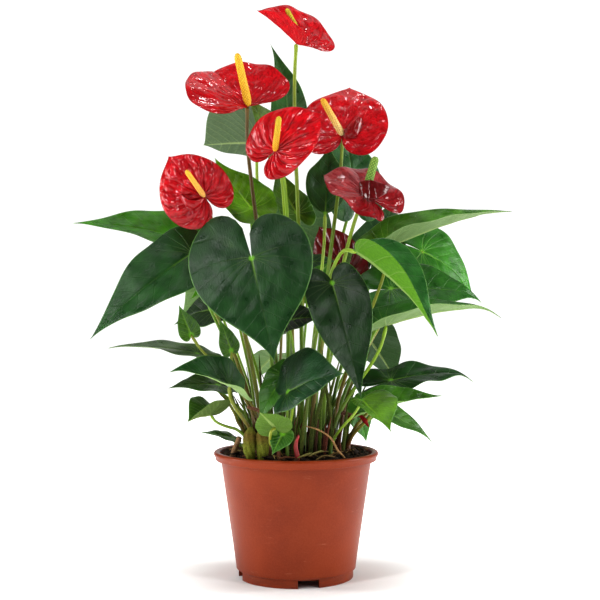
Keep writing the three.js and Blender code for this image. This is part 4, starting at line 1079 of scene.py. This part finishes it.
GROOVES = 7
GROOVE_SWEEP = 0.3
BLISTERS = 3                      # between two grooves
BLISTER = 5
FADED = 5                         # the index of the first bloom that has faded
FLAP_ROWS = 22
FLAP_HALF = 0.35                  # half of a flap's thickness
STALK_SLIM = 0.78
SPADIX_FOOT = 0.72
SPADIX_SHOULDER = 0.88
SPADIX_TAPER = 0.16
SPADIX_COLUMNS = 8
SPADIX_RINGS = 120
SPADIX_SIDES = 54
FLORET_HEIGHT = 0.17

# The curled fold beside a spadix, by the bloom's index: from its foot on the spathe to its free edge.
FLAPS = {
    3: dict(root=[(35.5, 5, 320.5), (40, 3, 320.5), (45, 4, 323), (49, 9, 330)],
            tips=[(35.5, 2, 327), (40, 3, 329), (46.5, 6, 336.5), (50, 11, 333)],
            bow=0.5, tones=((152, 0, 8), (140, 0, 8))),
    # The fifth bloom's flap: its back is a darker red, painted shade of the hollow behind it.
    4: dict(root=[(-81, -41.5, 272), (-75, -42.5, 266.5), (-69, -42.5, 265.5), (-63.5, -42, 271)],
            tips=[(-80, -44, 275.5), (-75, -48.5, 271.5), (-69, -48, 270.5), (-64, -44.5, 273)],
            bow=2.5, tones=((190, 6, 22), (100, 2, 8))),
    5: dict(root=[(45, -20.5, 278), (50, -27, 273.5), (58, -27, 274), (65, -20.5, 278)],
            tips=[(45, -18.5, 286), (51, -22.5, 287), (59, -22, 285.5), (67.5, -17, 282.5)],
            bow=0.5, tones=((112, 0, 4), (104, 0, 4))),
}


def domes(x, y, seed):
    """Rounded cells with creases between them: 1 on a cell's middle, 0 in a crease."""
    jitter = np.random.default_rng(seed).uniform(0, 1, (64, 64, 2))
    column, row = np.floor(x).astype(int), np.floor(y).astype(int)
    nearest = np.full(x.shape, 9.0)
    for i in (-1, 0, 1):
        for j in (-1, 0, 1):
            spot = jitter[(row + j) % 64, (column + i) % 64]
            away = (column + i + spot[..., 0] - x) ** 2 + (row + j + spot[..., 1] - y) ** 2
            nearest = np.minimum(nearest, away)
    return np.clip(1 - 1.5 * nearest, 0, 1)


def spathe_relief(grooves, puckers):
    """Grooves from the junction that bend towards the tip, with blisters on the ridges between them."""
    def relief(a, b, edge, length, seed, angle, reach):
        number = GROOVES * np.abs(angle) * (1 + GROOVE_SWEEP * reach ** 2)
        number = number + 0.16 * value_noise(a / 9, b / 9 + seed, seed + 1)
        r = np.hypot(a, b)
        pitch = np.maximum(r, 0.5) * np.pi / GROOVES
        ridge = np.abs(np.sin(np.pi * number)) ** 0.7
        warp = 0.6 * value_noise(a / 5, b / 5, seed + 6)
        blister = domes(BLISTERS * number + warp, r / BLISTER + 16 - warp, seed + 3)
        inner = np.clip(edge / 4, 0, 1) * np.clip(r / 10, 0, 1)
        broad = grooves * 1.3 * (ridge - 0.4) * inner
        broad = broad + 0.5 * value_noise(a / 6, b / 6, seed + 7) * inner * (0.4 + puckers)
        small = puckers * 0.5 * (blister - 0.5) * np.clip(edge / 2, 0, 1) * np.clip(r / 5, 0, 1)
        raised = np.clip(0.3 + 0.5 * blister * min(1, 2 * puckers) + 0.35 * grooves * (ridge - 0.6), 0, 1)
        lower = np.minimum(0.55 * broad + 0.3 * small, broad + small + 0.45)
        return number, pitch, broad + small, lower, raised

    return relief


def flap_net(lines, rows):
    """The faces of a grid of points, line by line, and the points of its rim in order."""
    step = rows + 1
    faces = [(i * step + j, (i + 1) * step + j, (i + 1) * step + j + 1, i * step + j + 1)
             for i in range(lines - 1) for j in range(rows)]
    rim = [i * step for i in range(lines)] + [(lines - 1) * step + j for j in range(1, step)]
    rim += [i * step + rows for i in range(lines - 2, -1, -1)] + list(range(rows - 1, 0, -1))
    return faces, rim


def flap(shape, root, tips, bow, tones, seed):
    """A thin curled fold of the spathe: rises from a curve of points to another, bowed outwards."""
    root, tips = spline(root, 12), spline(tips, 12)
    up = np.linspace(0, 1, FLAP_ROWS + 1)[None, :, None]
    place = root[:, None] + (tips - root)[:, None] * up
    normal = unit(np.cross(unit(np.gradient(place, axis=0)), unit(np.gradient(place, axis=1))))
    wide = np.linspace(0, 1, len(root))[:, None]
    up = up[..., 0]
    swell = bow * np.sin(np.pi * up) * np.sin(np.pi * wide)
    crease = 0.3 * np.sin(14 * wide + 2 * up) + 0.25 * value_noise(9 * wide + seed, 5 * up, seed)
    place = place + normal * (swell + crease * np.sin(np.pi * wide))[..., None]
    half = normal * (FLAP_HALF * np.minimum(1, 4 * np.sin(np.pi * wide) + 0.3)[..., None])
    size = place.shape[0] * place.shape[1]
    faces, rim = flap_net(len(root), FLAP_ROWS)
    under, hem = close_sheet(faces, rim, size)
    hem = [(a, d, c, b) for a, b, c, d in hem]    # because this rim runs the other way round
    reach = np.broadcast_to(8 + 20 * up, place.shape[:2]).ravel()
    turn = np.broadcast_to(wide * 12, place.shape[:2]).ravel()
    flat = np.column_stack([reach, turn, np.full(size, 0.3)])
    vein = np.column_stack([turn / 4, np.full(size, 3.0), np.full(size, 5.0)])
    points = np.concatenate([(place + half).reshape(-1, 3), (place - half).reshape(-1, 3)])
    shape.add(points, faces + under + hem, 0, tone=np.repeat([linear(tone) for tone in tones], size, axis=0),
              flat=np.tile(flat, (2, 1)), vein=np.tile(vein, (2, 1)), grain=(0, 0, 0), relief=(0.3, 0, 0))


def spathe_piece(index, stem):
    bloom = stem["blade"].leaf
    shape = Shape()
    tones = even_tone(bloom["top"], bloom["rear"]), even_tone(bloom["under"])
    relief = spathe_relief(bloom["grooves"], bloom["puckers"])
    fine_blade(shape, stem["blade"], SPATHE_NET, SPATHE_SKIN, 1.15, relief, tones, SEED + index)
    if index in FLAPS:
        flap(shape, **FLAPS[index], seed=SEED + index)
    shape.build(f"spathe_{index + 1}_fine", ("spathe_top", "spathe_under"), f"spathe_{index + 1}")


def stalk_piece(index, stem):
    shape = Shape()
    course = spline(stem["path"], 10)
    share = np.linspace(0, 1, len(course))
    radii = STALK_RADIUS * (STEM_BASE - STEM_TAPER * share)
    radii *= STALK_SLIM + 0.2 * np.exp(-((share - 1) / 0.02) ** 2)
    _, normal = stem["blade"].surface(0, 0)
    course = np.concatenate([course, [course[-1] + normal * 0.7]])
    radii = np.append(radii, radii[-1] * 0.8)
    share = np.append(share, 1.0)
    tube(shape, course, radii, 14, 0, blend(*stem["blade"].leaf["stalk"], share ** 1.5))
    shape.build(f"stalk_{index + 1}_fine", ("stem",), f"stalk_{index + 1}")


def spadix_piece(index, stem):
    """A spike covered with florets in crossing spirals, on a narrow foot between the spathe's halves."""
    bloom, joint = stem["blade"].leaf, stem["blade"].joint
    _, normal = stem["blade"].surface(0, 0)
    axis = np.array(bloom["spadix"], float)
    start = joint + normal * (SPATHE_THICKNESS / 2 + bloom["lift"])
    t = np.arange(SPADIX_RINGS + 1) / SPADIX_RINGS
    round_off = np.clip((t - SPADIX_SHOULDER) / (1.01 - SPADIX_SHOULDER), 0, 1)
    radii = bloom["radius"] * np.minimum(1, SPADIX_FOOT + 3 * t) * (1 - SPADIX_TAPER * t)
    radii = radii * np.sqrt(1 - round_off ** 2)
    share = np.linspace(0, 1, 9)[:-1]
    foot = joint + normal * 0.5 + (start - joint - normal * 0.5) * share[:, None]
    path = np.concatenate([foot, start + axis * t[:, None]])
    radii = np.concatenate([0.5 + (radii[0] - 0.5) * share ** 1.5, radii])
    t = np.concatenate([np.full(len(share), -0.02), t])
    rows = 1.1 * SPADIX_COLUMNS * np.linalg.norm(axis) / (2 * np.pi * bloom["radius"])

    def floret(turn, i):
        if t[i] < 0:
            return np.zeros(len(turn))
        u, v = SPADIX_COLUMNS * turn / 2, np.pi * rows * t[i]
        return np.abs(np.cos(u + v) * np.cos(u - v)) ** 0.8

    def relief(turn, i):
        return FLORET_HEIGHT * (floret(turn, i) - 0.6)

    shape = Shape()
    tone = blend(*bloom["spike"], np.clip(t, 0, 1) ** 0.8)
    tube(shape, path, radii, SPADIX_SIDES, 0, tone, relief)
    turn = 2 * np.pi * np.arange(SPADIX_SIDES) / SPADIX_SIDES
    heights = np.concatenate([floret(turn, i) for i in range(len(t))] + [[0.5, 0.5]])
    shape.values["relief"] = [np.column_stack([heights] * 3)]
    kind = "spadix_green" if index >= FADED else "spadix"
    shape.build(f"spadix_{index + 1}_fine", (kind,), f"spadix_{index + 1}")


# ---------------------------------------------------------------- pot and soil

LIP_RADIUS = 60
LIP_TOP = 91.5
LIP_BOTTOM = 85.2
BODY_TOP_RADIUS = 54.7
BODY_BOTTOM_RADIUS = 43.4
FOOT_RADIUS = 41.8
FOOT_HEIGHT = 7
WALL = 1.6
POT_SEGMENTS = 144
NOTCH_WIDTH = 15.4
NOTCH_HEIGHT = 5.7
NOTCH_DEPTH = 6
NOTCH_TURN = 12.6
NOTCH_COUNT = 4
DRAIN_RADIUS = 4
DRAIN_CIRCLE = 27
DRAIN_COUNT = 6
DRAIN_SEGMENTS = 24
BOX_FACES = [(0, 3, 2, 1), (4, 5, 6, 7), (0, 1, 5, 4), (1, 2, 6, 5), (2, 3, 7, 6), (3, 0, 4, 7)]
SOIL_EDGE_HEIGHT = 90.0           # loose crumbs lie higher than the CAD's plain top
SOIL_CROWN = 2.6
SOIL_LUMP = 0.8
SOIL_RINGS = 60
SOIL_SEGMENTS = 150
SOIL_TOP_GAP = 0.15               # between the soil and the pot's wall
SOIL_BOTTOM_GAP = 0.75


def inner_radius(z):
    return BODY_BOTTOM_RADIUS - WALL + (BODY_TOP_RADIUS - BODY_BOTTOM_RADIUS) * z / LIP_BOTTOM


def arc(centre, radius, start, end, steps):
    """Points of an arc in the profile's plane, between two angles in degrees."""
    turns = np.radians(np.linspace(start, end, steps))
    return [(centre[0] + radius * math.cos(turn), centre[1] + radius * math.sin(turn)) for turn in turns]


def lathe(profile, segments):
    """A closed solid turned round the z axis from a profile whose ends lie on the axis."""
    ring = profile[1:-1]
    turn = 2 * np.pi * np.arange(segments) / segments
    points = [(r * math.cos(angle), r * math.sin(angle), z) for angle in turn for r, z in ring]
    points += [(0, 0, profile[0][1]), (0, 0, profile[-1][1])]
    size = len(ring)
    start, end = segments * size, segments * size + 1
    faces = []
    for k in range(segments):
        here, there = k * size, (k + 1) % segments * size
        faces.append((start, there, here))
        faces += [(here + i, there + i, there + i + 1, here + i + 1) for i in range(size - 1)]
        faces.append((end, here + size - 1, there + size - 1))
    return points, faces


def cut(piece, tool):
    """Cuts a tool's solid out of a piece and removes the tool."""
    modifier = piece.modifiers.new("cut", "BOOLEAN")
    modifier.operation = "DIFFERENCE"
    modifier.solver = "EXACT"
    modifier.object = tool
    view = bpy.context.evaluated_depsgraph_get()
    mesh = bpy.data.meshes.new_from_object(piece.evaluated_get(view))
    piece.modifiers.clear()
    piece.data = mesh
    bpy.data.objects.remove(tool)


def tool_object(points, faces):
    mesh = bpy.data.meshes.new("tool")
    mesh.from_pydata((np.asarray(points, float) * MM).tolist(), [], faces)
    tool = bpy.data.objects.new("tool", mesh)
    bpy.context.collection.objects.link(tool)
    return tool


def pot_profile():
    """The pot's section, from the underside of its floor round the wall and the lip to the floor's top."""
    floor = FOOT_HEIGHT + WALL
    foot_in = FOOT_RADIUS - 2 * WALL
    wall_in = inner_radius(LIP_BOTTOM)
    profile = [(0, FOOT_HEIGHT), (foot_in, FOOT_HEIGHT), (foot_in, 0.5)]
    profile += arc((foot_in + 0.5, 0.5), 0.5, 180, 270, 4)
    profile += arc((FOOT_RADIUS - 0.5, 0.5), 0.5, 270, 360, 4)
    profile += [(FOOT_RADIUS, FOOT_HEIGHT - 1)]
    profile += arc((FOOT_RADIUS + 0.5, FOOT_HEIGHT - 0.9), 0.5, 180, 100, 4)
    profile += [(BODY_BOTTOM_RADIUS - 0.5, FOOT_HEIGHT - 0.3)]
    profile += arc((BODY_BOTTOM_RADIUS - 0.4, FOOT_HEIGHT + 0.3), 0.6, 280, 355, 4)
    for share in np.linspace(0.04, 0.985, 14):
        z = FOOT_HEIGHT + (LIP_BOTTOM - 1 - FOOT_HEIGHT) * share
        profile.append((BODY_BOTTOM_RADIUS + (BODY_TOP_RADIUS - BODY_BOTTOM_RADIUS) * share, z))
    profile += arc((BODY_TOP_RADIUS + 0.9, LIP_BOTTOM - 1), 0.9, 180, 90, 5)
    profile += arc((LIP_RADIUS - 2.0, LIP_BOTTOM + 0.8), 0.7, 270, 350, 5)
    profile += [(LIP_RADIUS - 1.15, LIP_BOTTOM + 2.4)]
    profile += arc((LIP_RADIUS - 1.75, LIP_TOP - 1.7), 1.75, 330, 450, 9)
    profile += arc((LIP_RADIUS - 3.6, LIP_TOP - 1.2), 1.0, 100, 175, 5)
    profile += [(wall_in + 0.9, LIP_BOTTOM + 1.4), (wall_in, LIP_BOTTOM - 0.4)]
    return profile + [(inner_radius(floor), floor), (0, floor)]


def notch_tool(number):
    """A box across the foot ring."""
    turn = math.radians(NOTCH_TURN) + number * 2 * math.pi / NOTCH_COUNT
    half, near, far = NOTCH_WIDTH / 2, -FOOT_RADIUS - NOTCH_DEPTH, NOTCH_DEPTH - FOOT_RADIUS
    corners = [(x, y, z) for z in (-NOTCH_HEIGHT, NOTCH_HEIGHT)
               for x, y in ((-half, near), (half, near), (half, far), (-half, far))]
    turned = [(x * math.cos(turn) - y * math.sin(turn), x * math.sin(turn) + y * math.cos(turn), z)
              for x, y, z in corners]
    return tool_object(turned, BOX_FACES)


def drain_tool(number):
    """A round bar through the floor plate."""
    turn = (number + 0.5) * 2 * math.pi / DRAIN_COUNT
    middle = (DRAIN_CIRCLE * math.cos(turn), DRAIN_CIRCLE * math.sin(turn))
    low, high = FOOT_HEIGHT - 3, FOOT_HEIGHT + 5
    points, faces = lathe([(0, low), (DRAIN_RADIUS, low), (DRAIN_RADIUS, high), (0, high)], DRAIN_SEGMENTS)
    return tool_object([(x + middle[0], y + middle[1], z) for x, y, z in points], faces)


def pot_piece():
    points, faces = lathe(pot_profile(), POT_SEGMENTS)
    shape = Shape()
    shape.add(points, faces, 0)
    piece = shape.build("pot_fine", ("pot",), "pot", smooth=False)
    for number in range(NOTCH_COUNT):
        cut(piece, notch_tool(number))
    for number in range(DRAIN_COUNT):
        cut(piece, drain_tool(number))
    piece.data.polygons.foreach_set("use_smooth", [True] * len(piece.data.polygons))
    piece.data.set_sharp_from_angle(angle=math.radians(35))


def soil_height(x, y):
    """The soil's top without its roughness."""
    spread = np.hypot(x, y) / BODY_TOP_RADIUS
    small = np.sin(0.31 * x + 1.3) * np.cos(0.27 * y)
    large = np.sin(0.17 * (x + y)) * np.cos(0.4 * y - 0.2 * x)
    return SOIL_EDGE_HEIGHT + SOIL_CROWN * (1 - spread * spread) + SOIL_LUMP * (small + large)


def soil_piece():
    """The lumpy top of the soil, with its side and bottom against the pot."""
    def at(ring, k):
        return 1 + (ring - 1) * SOIL_SEGMENTS + k % SOIL_SEGMENTS

    edge = inner_radius(SOIL_EDGE_HEIGHT) - SOIL_TOP_GAP
    points = [(0, 0, soil_height(0, 0))]
    turn = 2 * np.pi * np.arange(SOIL_SEGMENTS) / SOIL_SEGMENTS
    for ring in range(1, SOIL_RINGS + 1):
        reach = edge * ring / SOIL_RINGS
        x, y = reach * np.cos(turn), reach * np.sin(turn)
        rough = 1.1 * value_noise(x / 4, y / 4, SEED) + 0.7 * value_noise(x / 1.7, y / 1.7, SEED + 1)
        z = soil_height(x, y) + rough * (1 - 0.5 * (ring / SOIL_RINGS) ** 6)
        points += list(zip(x, y, z))
    bottom = FOOT_HEIGHT + WALL + GAP
    low = inner_radius(bottom) - SOIL_BOTTOM_GAP
    points += [(low * math.cos(angle), low * math.sin(angle), bottom) for angle in turn] + [(0, 0, bottom)]
    around = range(SOIL_SEGMENTS)
    faces = [(0, at(1, k), at(1, k + 1)) for k in around]
    for ring in range(1, SOIL_RINGS + 1):
        faces += [(at(ring, k), at(ring + 1, k), at(ring + 1, k + 1), at(ring, k + 1)) for k in around]
    faces += [(len(points) - 1, at(SOIL_RINGS + 1, k + 1), at(SOIL_RINGS + 1, k)) for k in around]
    shape = Shape()
    shape.add(points, faces, 0)
    shape.build("soil_fine", ("soil",), "soil")


# ---------------------------------------------------------------- loose scraps on the soil

CRUMBS = 1500
CHIPS = 150
FIBRES = 130
CRUMB_TONES = ((20, 14, 10), (84, 60, 42))
CHIP_TONES = ((44, 30, 20), (120, 84, 54))
CHIP_STRETCH = np.array([1.6, 0.8, 0.3])
FIBRE_TONES = ((104, 72, 44), (168, 150, 92))
FIBRE_TAPER = np.array([0.5, 0.9, 1, 1, 1, 1, 0.9, 0.8, 0.3])
CROWN_SLIVERS = 180
SLIVER_TAPER = np.array([1, 1.1, 1.05, 1, 0.85, 0.7, 0.5, 0.18])
SLIVER_TONES = ((74, 48, 30), (104, 70, 40), (46, 34, 20), (84, 96, 34), (96, 120, 40), (120, 66, 50))
GREEN_SLIVERS = (3, 4)            # which of these tones are young stems, and taller

# An icosahedron, the form that crumbs and chips are stretched from.
GOLDEN = (1 + 5 ** 0.5) / 2
PEBBLE_CORNERS = unit(np.array([np.roll((side, up * GOLDEN, 0), turn)
                                for turn in range(3) for up in (1, -1) for side in (-1, 1)]))
PEBBLE_FACES = [(0, 11, 5), (0, 5, 1), (0, 1, 7), (0, 7, 10), (0, 10, 11), (1, 5, 9), (5, 11, 4),
                (11, 10, 2), (10, 7, 6), (7, 1, 8), (3, 9, 4), (3, 4, 2), (3, 2, 6), (3, 6, 8), (3, 8, 9),
                (4, 9, 5), (2, 4, 11), (6, 2, 10), (8, 6, 7), (9, 8, 1)]

# Short pieces of root and bark on the soil in front: their course as x, y and height above the soil, how
# thick the middle is (each thins to the same ends), and their colour.
STRANDS = [
    ([(1, -48, 0), (6, -46, 2), (11, -44, 3.4)], (0.7, 0.7), (168, 162, 96)),
    ([(9, -45, 1.2), (14, -43, 3), (19, -41, 4)], (0.7, 0.6), (176, 166, 104)),
    ([(22, -43, 0.4), (28, -40, 2), (33, -36, 2.4)], (0.6, 0.5), (132, 104, 64)),
    ([(-12, -49, 0), (-7, -50, 1.4), (-1, -50, 0.6)], (0.6, 0.5), (122, 78, 48)),
    ([(-38, -34, 0), (-32, -39, 1.6), (-27, -43, 0.6)], (0.7, 0.6), (104, 70, 42)),
    ([(14, -49, 0), (20, -47, 1.6), (27, -44, 0.8)], (0.6, 0.6), (140, 116, 72)),
]
STRAND_END = 0.3


def random_spot(rng, limit):
    reach, turn = limit * math.sqrt(rng.uniform()), rng.uniform(0, 2 * math.pi)
    return reach * math.cos(turn), reach * math.sin(turn)


def add_crumb(shape, rng, limit, chip):
    """A small lump on the soil, or a flat chip of bark."""
    x, y = random_spot(rng, limit)
    size = rng.uniform(1.2, 3.0) if chip else rng.uniform(0.35, 1.3)
    stretch = CHIP_STRETCH if chip else rng.uniform(0.6, 1.2, 3)
    form = PEBBLE_CORNERS * stretch * size * rng.uniform(0.75, 1.25, (12, 1))
    turn = rng.uniform(0, 2 * math.pi)
    lean = rng.uniform(-0.6, 0.6)
    spin = np.array([[math.cos(turn), -math.sin(turn), 0], [math.sin(turn), math.cos(turn), 0], [0, 0, 1]])
    tip = np.array([[1, 0, 0], [0, math.cos(lean), -math.sin(lean)], [0, math.sin(lean), math.cos(lean)]])
    place = np.array([x, y, soil_height(x, y) + 0.3 * size + 0.4])
    tone = blend(*(CHIP_TONES if chip else CRUMB_TONES), rng.uniform() ** 2)
    shape.add(form @ (spin @ tip).T + place, PEBBLE_FACES, 0, tone=tone)


def add_fibre(shape, rng, limit):
    """A thin bent root that lies on the soil."""
    x, y = random_spot(rng, limit - 4)
    way = rng.uniform(0, 2 * math.pi)
    bend = rng.uniform(-1.2, 1.2)
    length = rng.uniform(5, 20)
    points = []
    for t in np.linspace(0, 1, len(FIBRE_TAPER)):
        turn = way + bend * t
        x, y = x + length / 8 * math.cos(turn), y + length / 8 * math.sin(turn)
        inside = min(1, limit / math.hypot(x, y))
        x, y = x * inside, y * inside
        points.append((x, y, soil_height(x, y) + 1.3 + 1.2 * math.sin(math.pi * t) * rng.uniform(0.5, 1)))
    tone = blend(*FIBRE_TONES, rng.uniform())
    stick(shape, points, rng.uniform(0.2, 0.55) * FIBRE_TAPER, 6, tone)


def add_strand(shape, course, thick, colour):
    path = spline([(x, y, soil_height(x, y) + 1.6 + lift) for x, y, lift in course], 6)
    radii = np.interp(np.linspace(0, 1, len(path)), (0, 0.2, 0.8, 1), (STRAND_END, *thick, STRAND_END))
    stick(shape, path, radii, 8, linear(colour))


def soil_debris():
    """Crumbs, bark chips and fibres that lie on the soil."""
    rng = np.random.default_rng(SEED)
    limit = inner_radius(SOIL_EDGE_HEIGHT) - 2.5
    shape = Shape()
    for number in range(CRUMBS + CHIPS):
        add_crumb(shape, rng, limit, chip=number >= CRUMBS)
    for _ in range(FIBRES):
        add_fibre(shape, rng, limit)
    for course, thick, colour in STRANDS:
        add_strand(shape, course, thick, colour)
    shape.build("soil_debris", ("debris",))


def add_sliver(shape, rng):
    """A scrap of dry sheath or a thin young stem, which stands in the soil and leans outwards."""
    reach, turn = 36 * math.sqrt(rng.uniform(0.02, 1)), rng.uniform(0, 2 * math.pi)
    x, y = reach * math.cos(turn), reach * math.sin(turn)
    kind = rng.integers(len(SLIVER_TONES))
    height = rng.uniform(20, 78) if kind in GREEN_SLIVERS else rng.uniform(8, 30)
    lean = rng.uniform(0.05, 0.35)
    bend = rng.normal(0, 0.12, 2)
    points = [(x + lean * height * t * math.cos(turn) + bend[0] * height * t * t,
               y + lean * height * t * math.sin(turn) + bend[1] * height * t * t,
               soil_height(x, y) - 2 + height * t) for t in np.linspace(0, 1, len(SLIVER_TAPER))]
    radii = rng.uniform(0.7, 1.5) * SLIVER_TAPER
    squash = rng.uniform(0.35, 0.9)
    stick(shape, points, radii, 8, linear(SLIVER_TONES[kind]) * rng.uniform(0.7, 1.2), squash=squash)


def crown_litter():
    """Dry sheaths and thin young stems that stand between the petioles' feet."""
    rng = np.random.default_rng(SEED + 9)
    shape = Shape()
    for _ in range(CROWN_SLIVERS):
        add_sliver(shape, rng)
    shape.build("crown_litter", ("debris",))


# ---------------------------------------------------------------- small remnants

# Course gives points along the middle and radii the thickness, spread evenly over it. Wrinkles are their
# depth as a share of the radius, how many go round, and a seed.
REMNANTS = [
    dict(name="dried_petiole", material="debris", slot="dry", colour=(122, 84, 62), sides=12, steps=12,
         course=[(-19, -37, 76), (-19, -37, 98), (-20, -40, 114), (-25, -45, 124), (-33, -51, 128)],
         radii=(1.6, 1.6, 1.4, 1.3, 1.1), wrinkles=(0.1, 4, 6)),
    dict(name="aerial_root", material="debris", slot="dry", colour=(176, 138, 92), sides=10, steps=12,
         course=[(34, -37, 78), (34, -37, 90), (29, -42, 97), (24, -45, 106), (15, -47, 112), (7, -45, 114)],
         radii=(0.9, 0.9, 0.75, 0.7, 0.6, 0.4), wrinkles=(0.12, 2, 7)),
    dict(name="red_sheath", material="stem", slot="red_sheath", colour=(176, 52, 56), sides=14, steps=10,
         course=[(1, -46, 78), (1, -46, 92), (0, -47, 101), (2, -48, 108)],
         radii=(1.7, 1.7, 1.5, 0.7), wrinkles=(0.07, 3, 8)),
]
SHEATH_RADII = (2.2, 2.8, 4.3, 4.7, 3.8, 0.9)
SHEATH_GREEN = (112, 122, 32)
SHEATH_BROWN = (104, 52, 28)

# A dry twig with red scales, between two petioles at the front right, and a cut stub at the front left.
BUD_SCALES = [
    ([(33, -6.5, 119.2), (38, -9, 119.6), (43, -12, 119), (47, -13, 118.2)], (1.1, 1.3, 1.2, 0.8),
     (136, 92, 84)),
    ([(42.5, -12.5, 118.9), (45, -13.6, 118.6), (48, -14, 117.6)], (1.4, 1.7, 0.9), (96, 16, 18)),
    ([(36.6, -9, 117.4), (39.5, -10.5, 116.2), (42.5, -11, 116.8)], (1.0, 1.6, 0.5), (122, 6, 8)),
    ([(46.2, -14.5, 118.4), (49.5, -16, 115), (52.2, -17, 110.6)], (1.1, 1.8, 0.4), (142, 8, 14)),
    ([(-46, -22, 86), (-44, -23, 94), (-40, -24, 104)], (2.3, 2.1, 1.7), (150, 118, 84)),
]


def wrinkled(depth, count, seed):
    """A tube's relief of lengthwise wrinkles."""
    def relief(turn, i):
        uneven = value_noise(turn * 2, np.full_like(turn, i * 0.4), seed)
        return depth * (np.sin(count * turn + 0.25 * i) + uneven)

    return relief


def young_sheath_piece():
    """Two bulging halves of a sheath, side by side, with a brown streak."""
    shape = Shape()
    for side, lean in ((-1, -1.6), (1, 1.4)):
        middle = np.array([-27.5 + 3.2 * side, -41.5 - 0.8 * side, 0])
        course = [(0, 0, 78), (0.3 * lean, 0, 90), (lean, -0.6, 97), (lean, -1, 103), (0.6 * lean, -1, 109),
                  (0.2 * lean, -0.6, 113)]
        path = spline([middle + point for point in course], 10)
        streak = np.exp(-(((np.linspace(0, 1, len(path)) - 0.72) / 0.16) ** 2))
        tone = blend(SHEATH_GREEN, SHEATH_BROWN, streak * 0.55)
        tube(shape, path, radii_along(path, SHEATH_RADII), 40, 0, tone, wrinkled(0.075, 7, 5 + side))
    shape.build("young_sheath_fine", ("debris",), "young_sheath")


def remnant_piece(name, material, slot, colour, sides, steps, course, radii, wrinkles):
    shape = Shape()
    path = spline(course, steps)
    tube(shape, path, radii_along(path, radii), sides, 0, linear(colour), wrinkled(*wrinkles))
    shape.build(f"{name}_fine", (material,), name)


def bud_scales():
    def relief(turn, i):
        return 0.06 * np.sin(5 * turn + 0.3 * i)

    shape = Shape()
    for course, radii, colour in BUD_SCALES:
        path = spline(course, 8)
        stick(shape, path, radii_along(path, radii), 14, linear(colour), relief)
    shape.build("bud_scales", ("debris",))


# ---------------------------------------------------------------- floor

FLOOR_RADIUS = 2300
FLOOR_SEGMENTS = 64


def add_floor():
    points = [(0, 0, 0)]
    for k in range(FLOOR_SEGMENTS):
        turn = 2 * math.pi * k / FLOOR_SEGMENTS
        points.append((FLOOR_RADIUS * math.cos(turn), FLOOR_RADIUS * math.sin(turn), 0))
    faces = [(0, 1 + k, 1 + (k + 1) % FLOOR_SEGMENTS) for k in range(FLOOR_SEGMENTS)]
    mesh = bpy.data.meshes.new("floor")
    mesh.from_pydata((np.array(points) * MM).tolist(), [], faces)
    mesh.materials.append(MATERIALS["floor"])
    floor = bpy.data.objects.new("floor", mesh)
    bpy.context.collection.objects.link(floor)


# ---------------------------------------------------------------- the whole plant

add_camera()
light_scene()
add_floor()

stems = plant_stems()
leaf_nodes = {}
for stem in stems[:len(LEAVES)]:
    leaf_nodes.setdefault(stem["node"], []).append(stem)
for node, group in leaf_nodes.items():
    leaf_piece(node, group)
for index, stem in enumerate(stems[len(LEAVES):]):
    spathe_piece(index, stem)
    stalk_piece(index, stem)
    spadix_piece(index, stem)
pot_piece()
soil_piece()
soil_debris()
crown_litter()
young_sheath_piece()
for remnant in REMNANTS:
    remnant_piece(**remnant)
bud_scales()
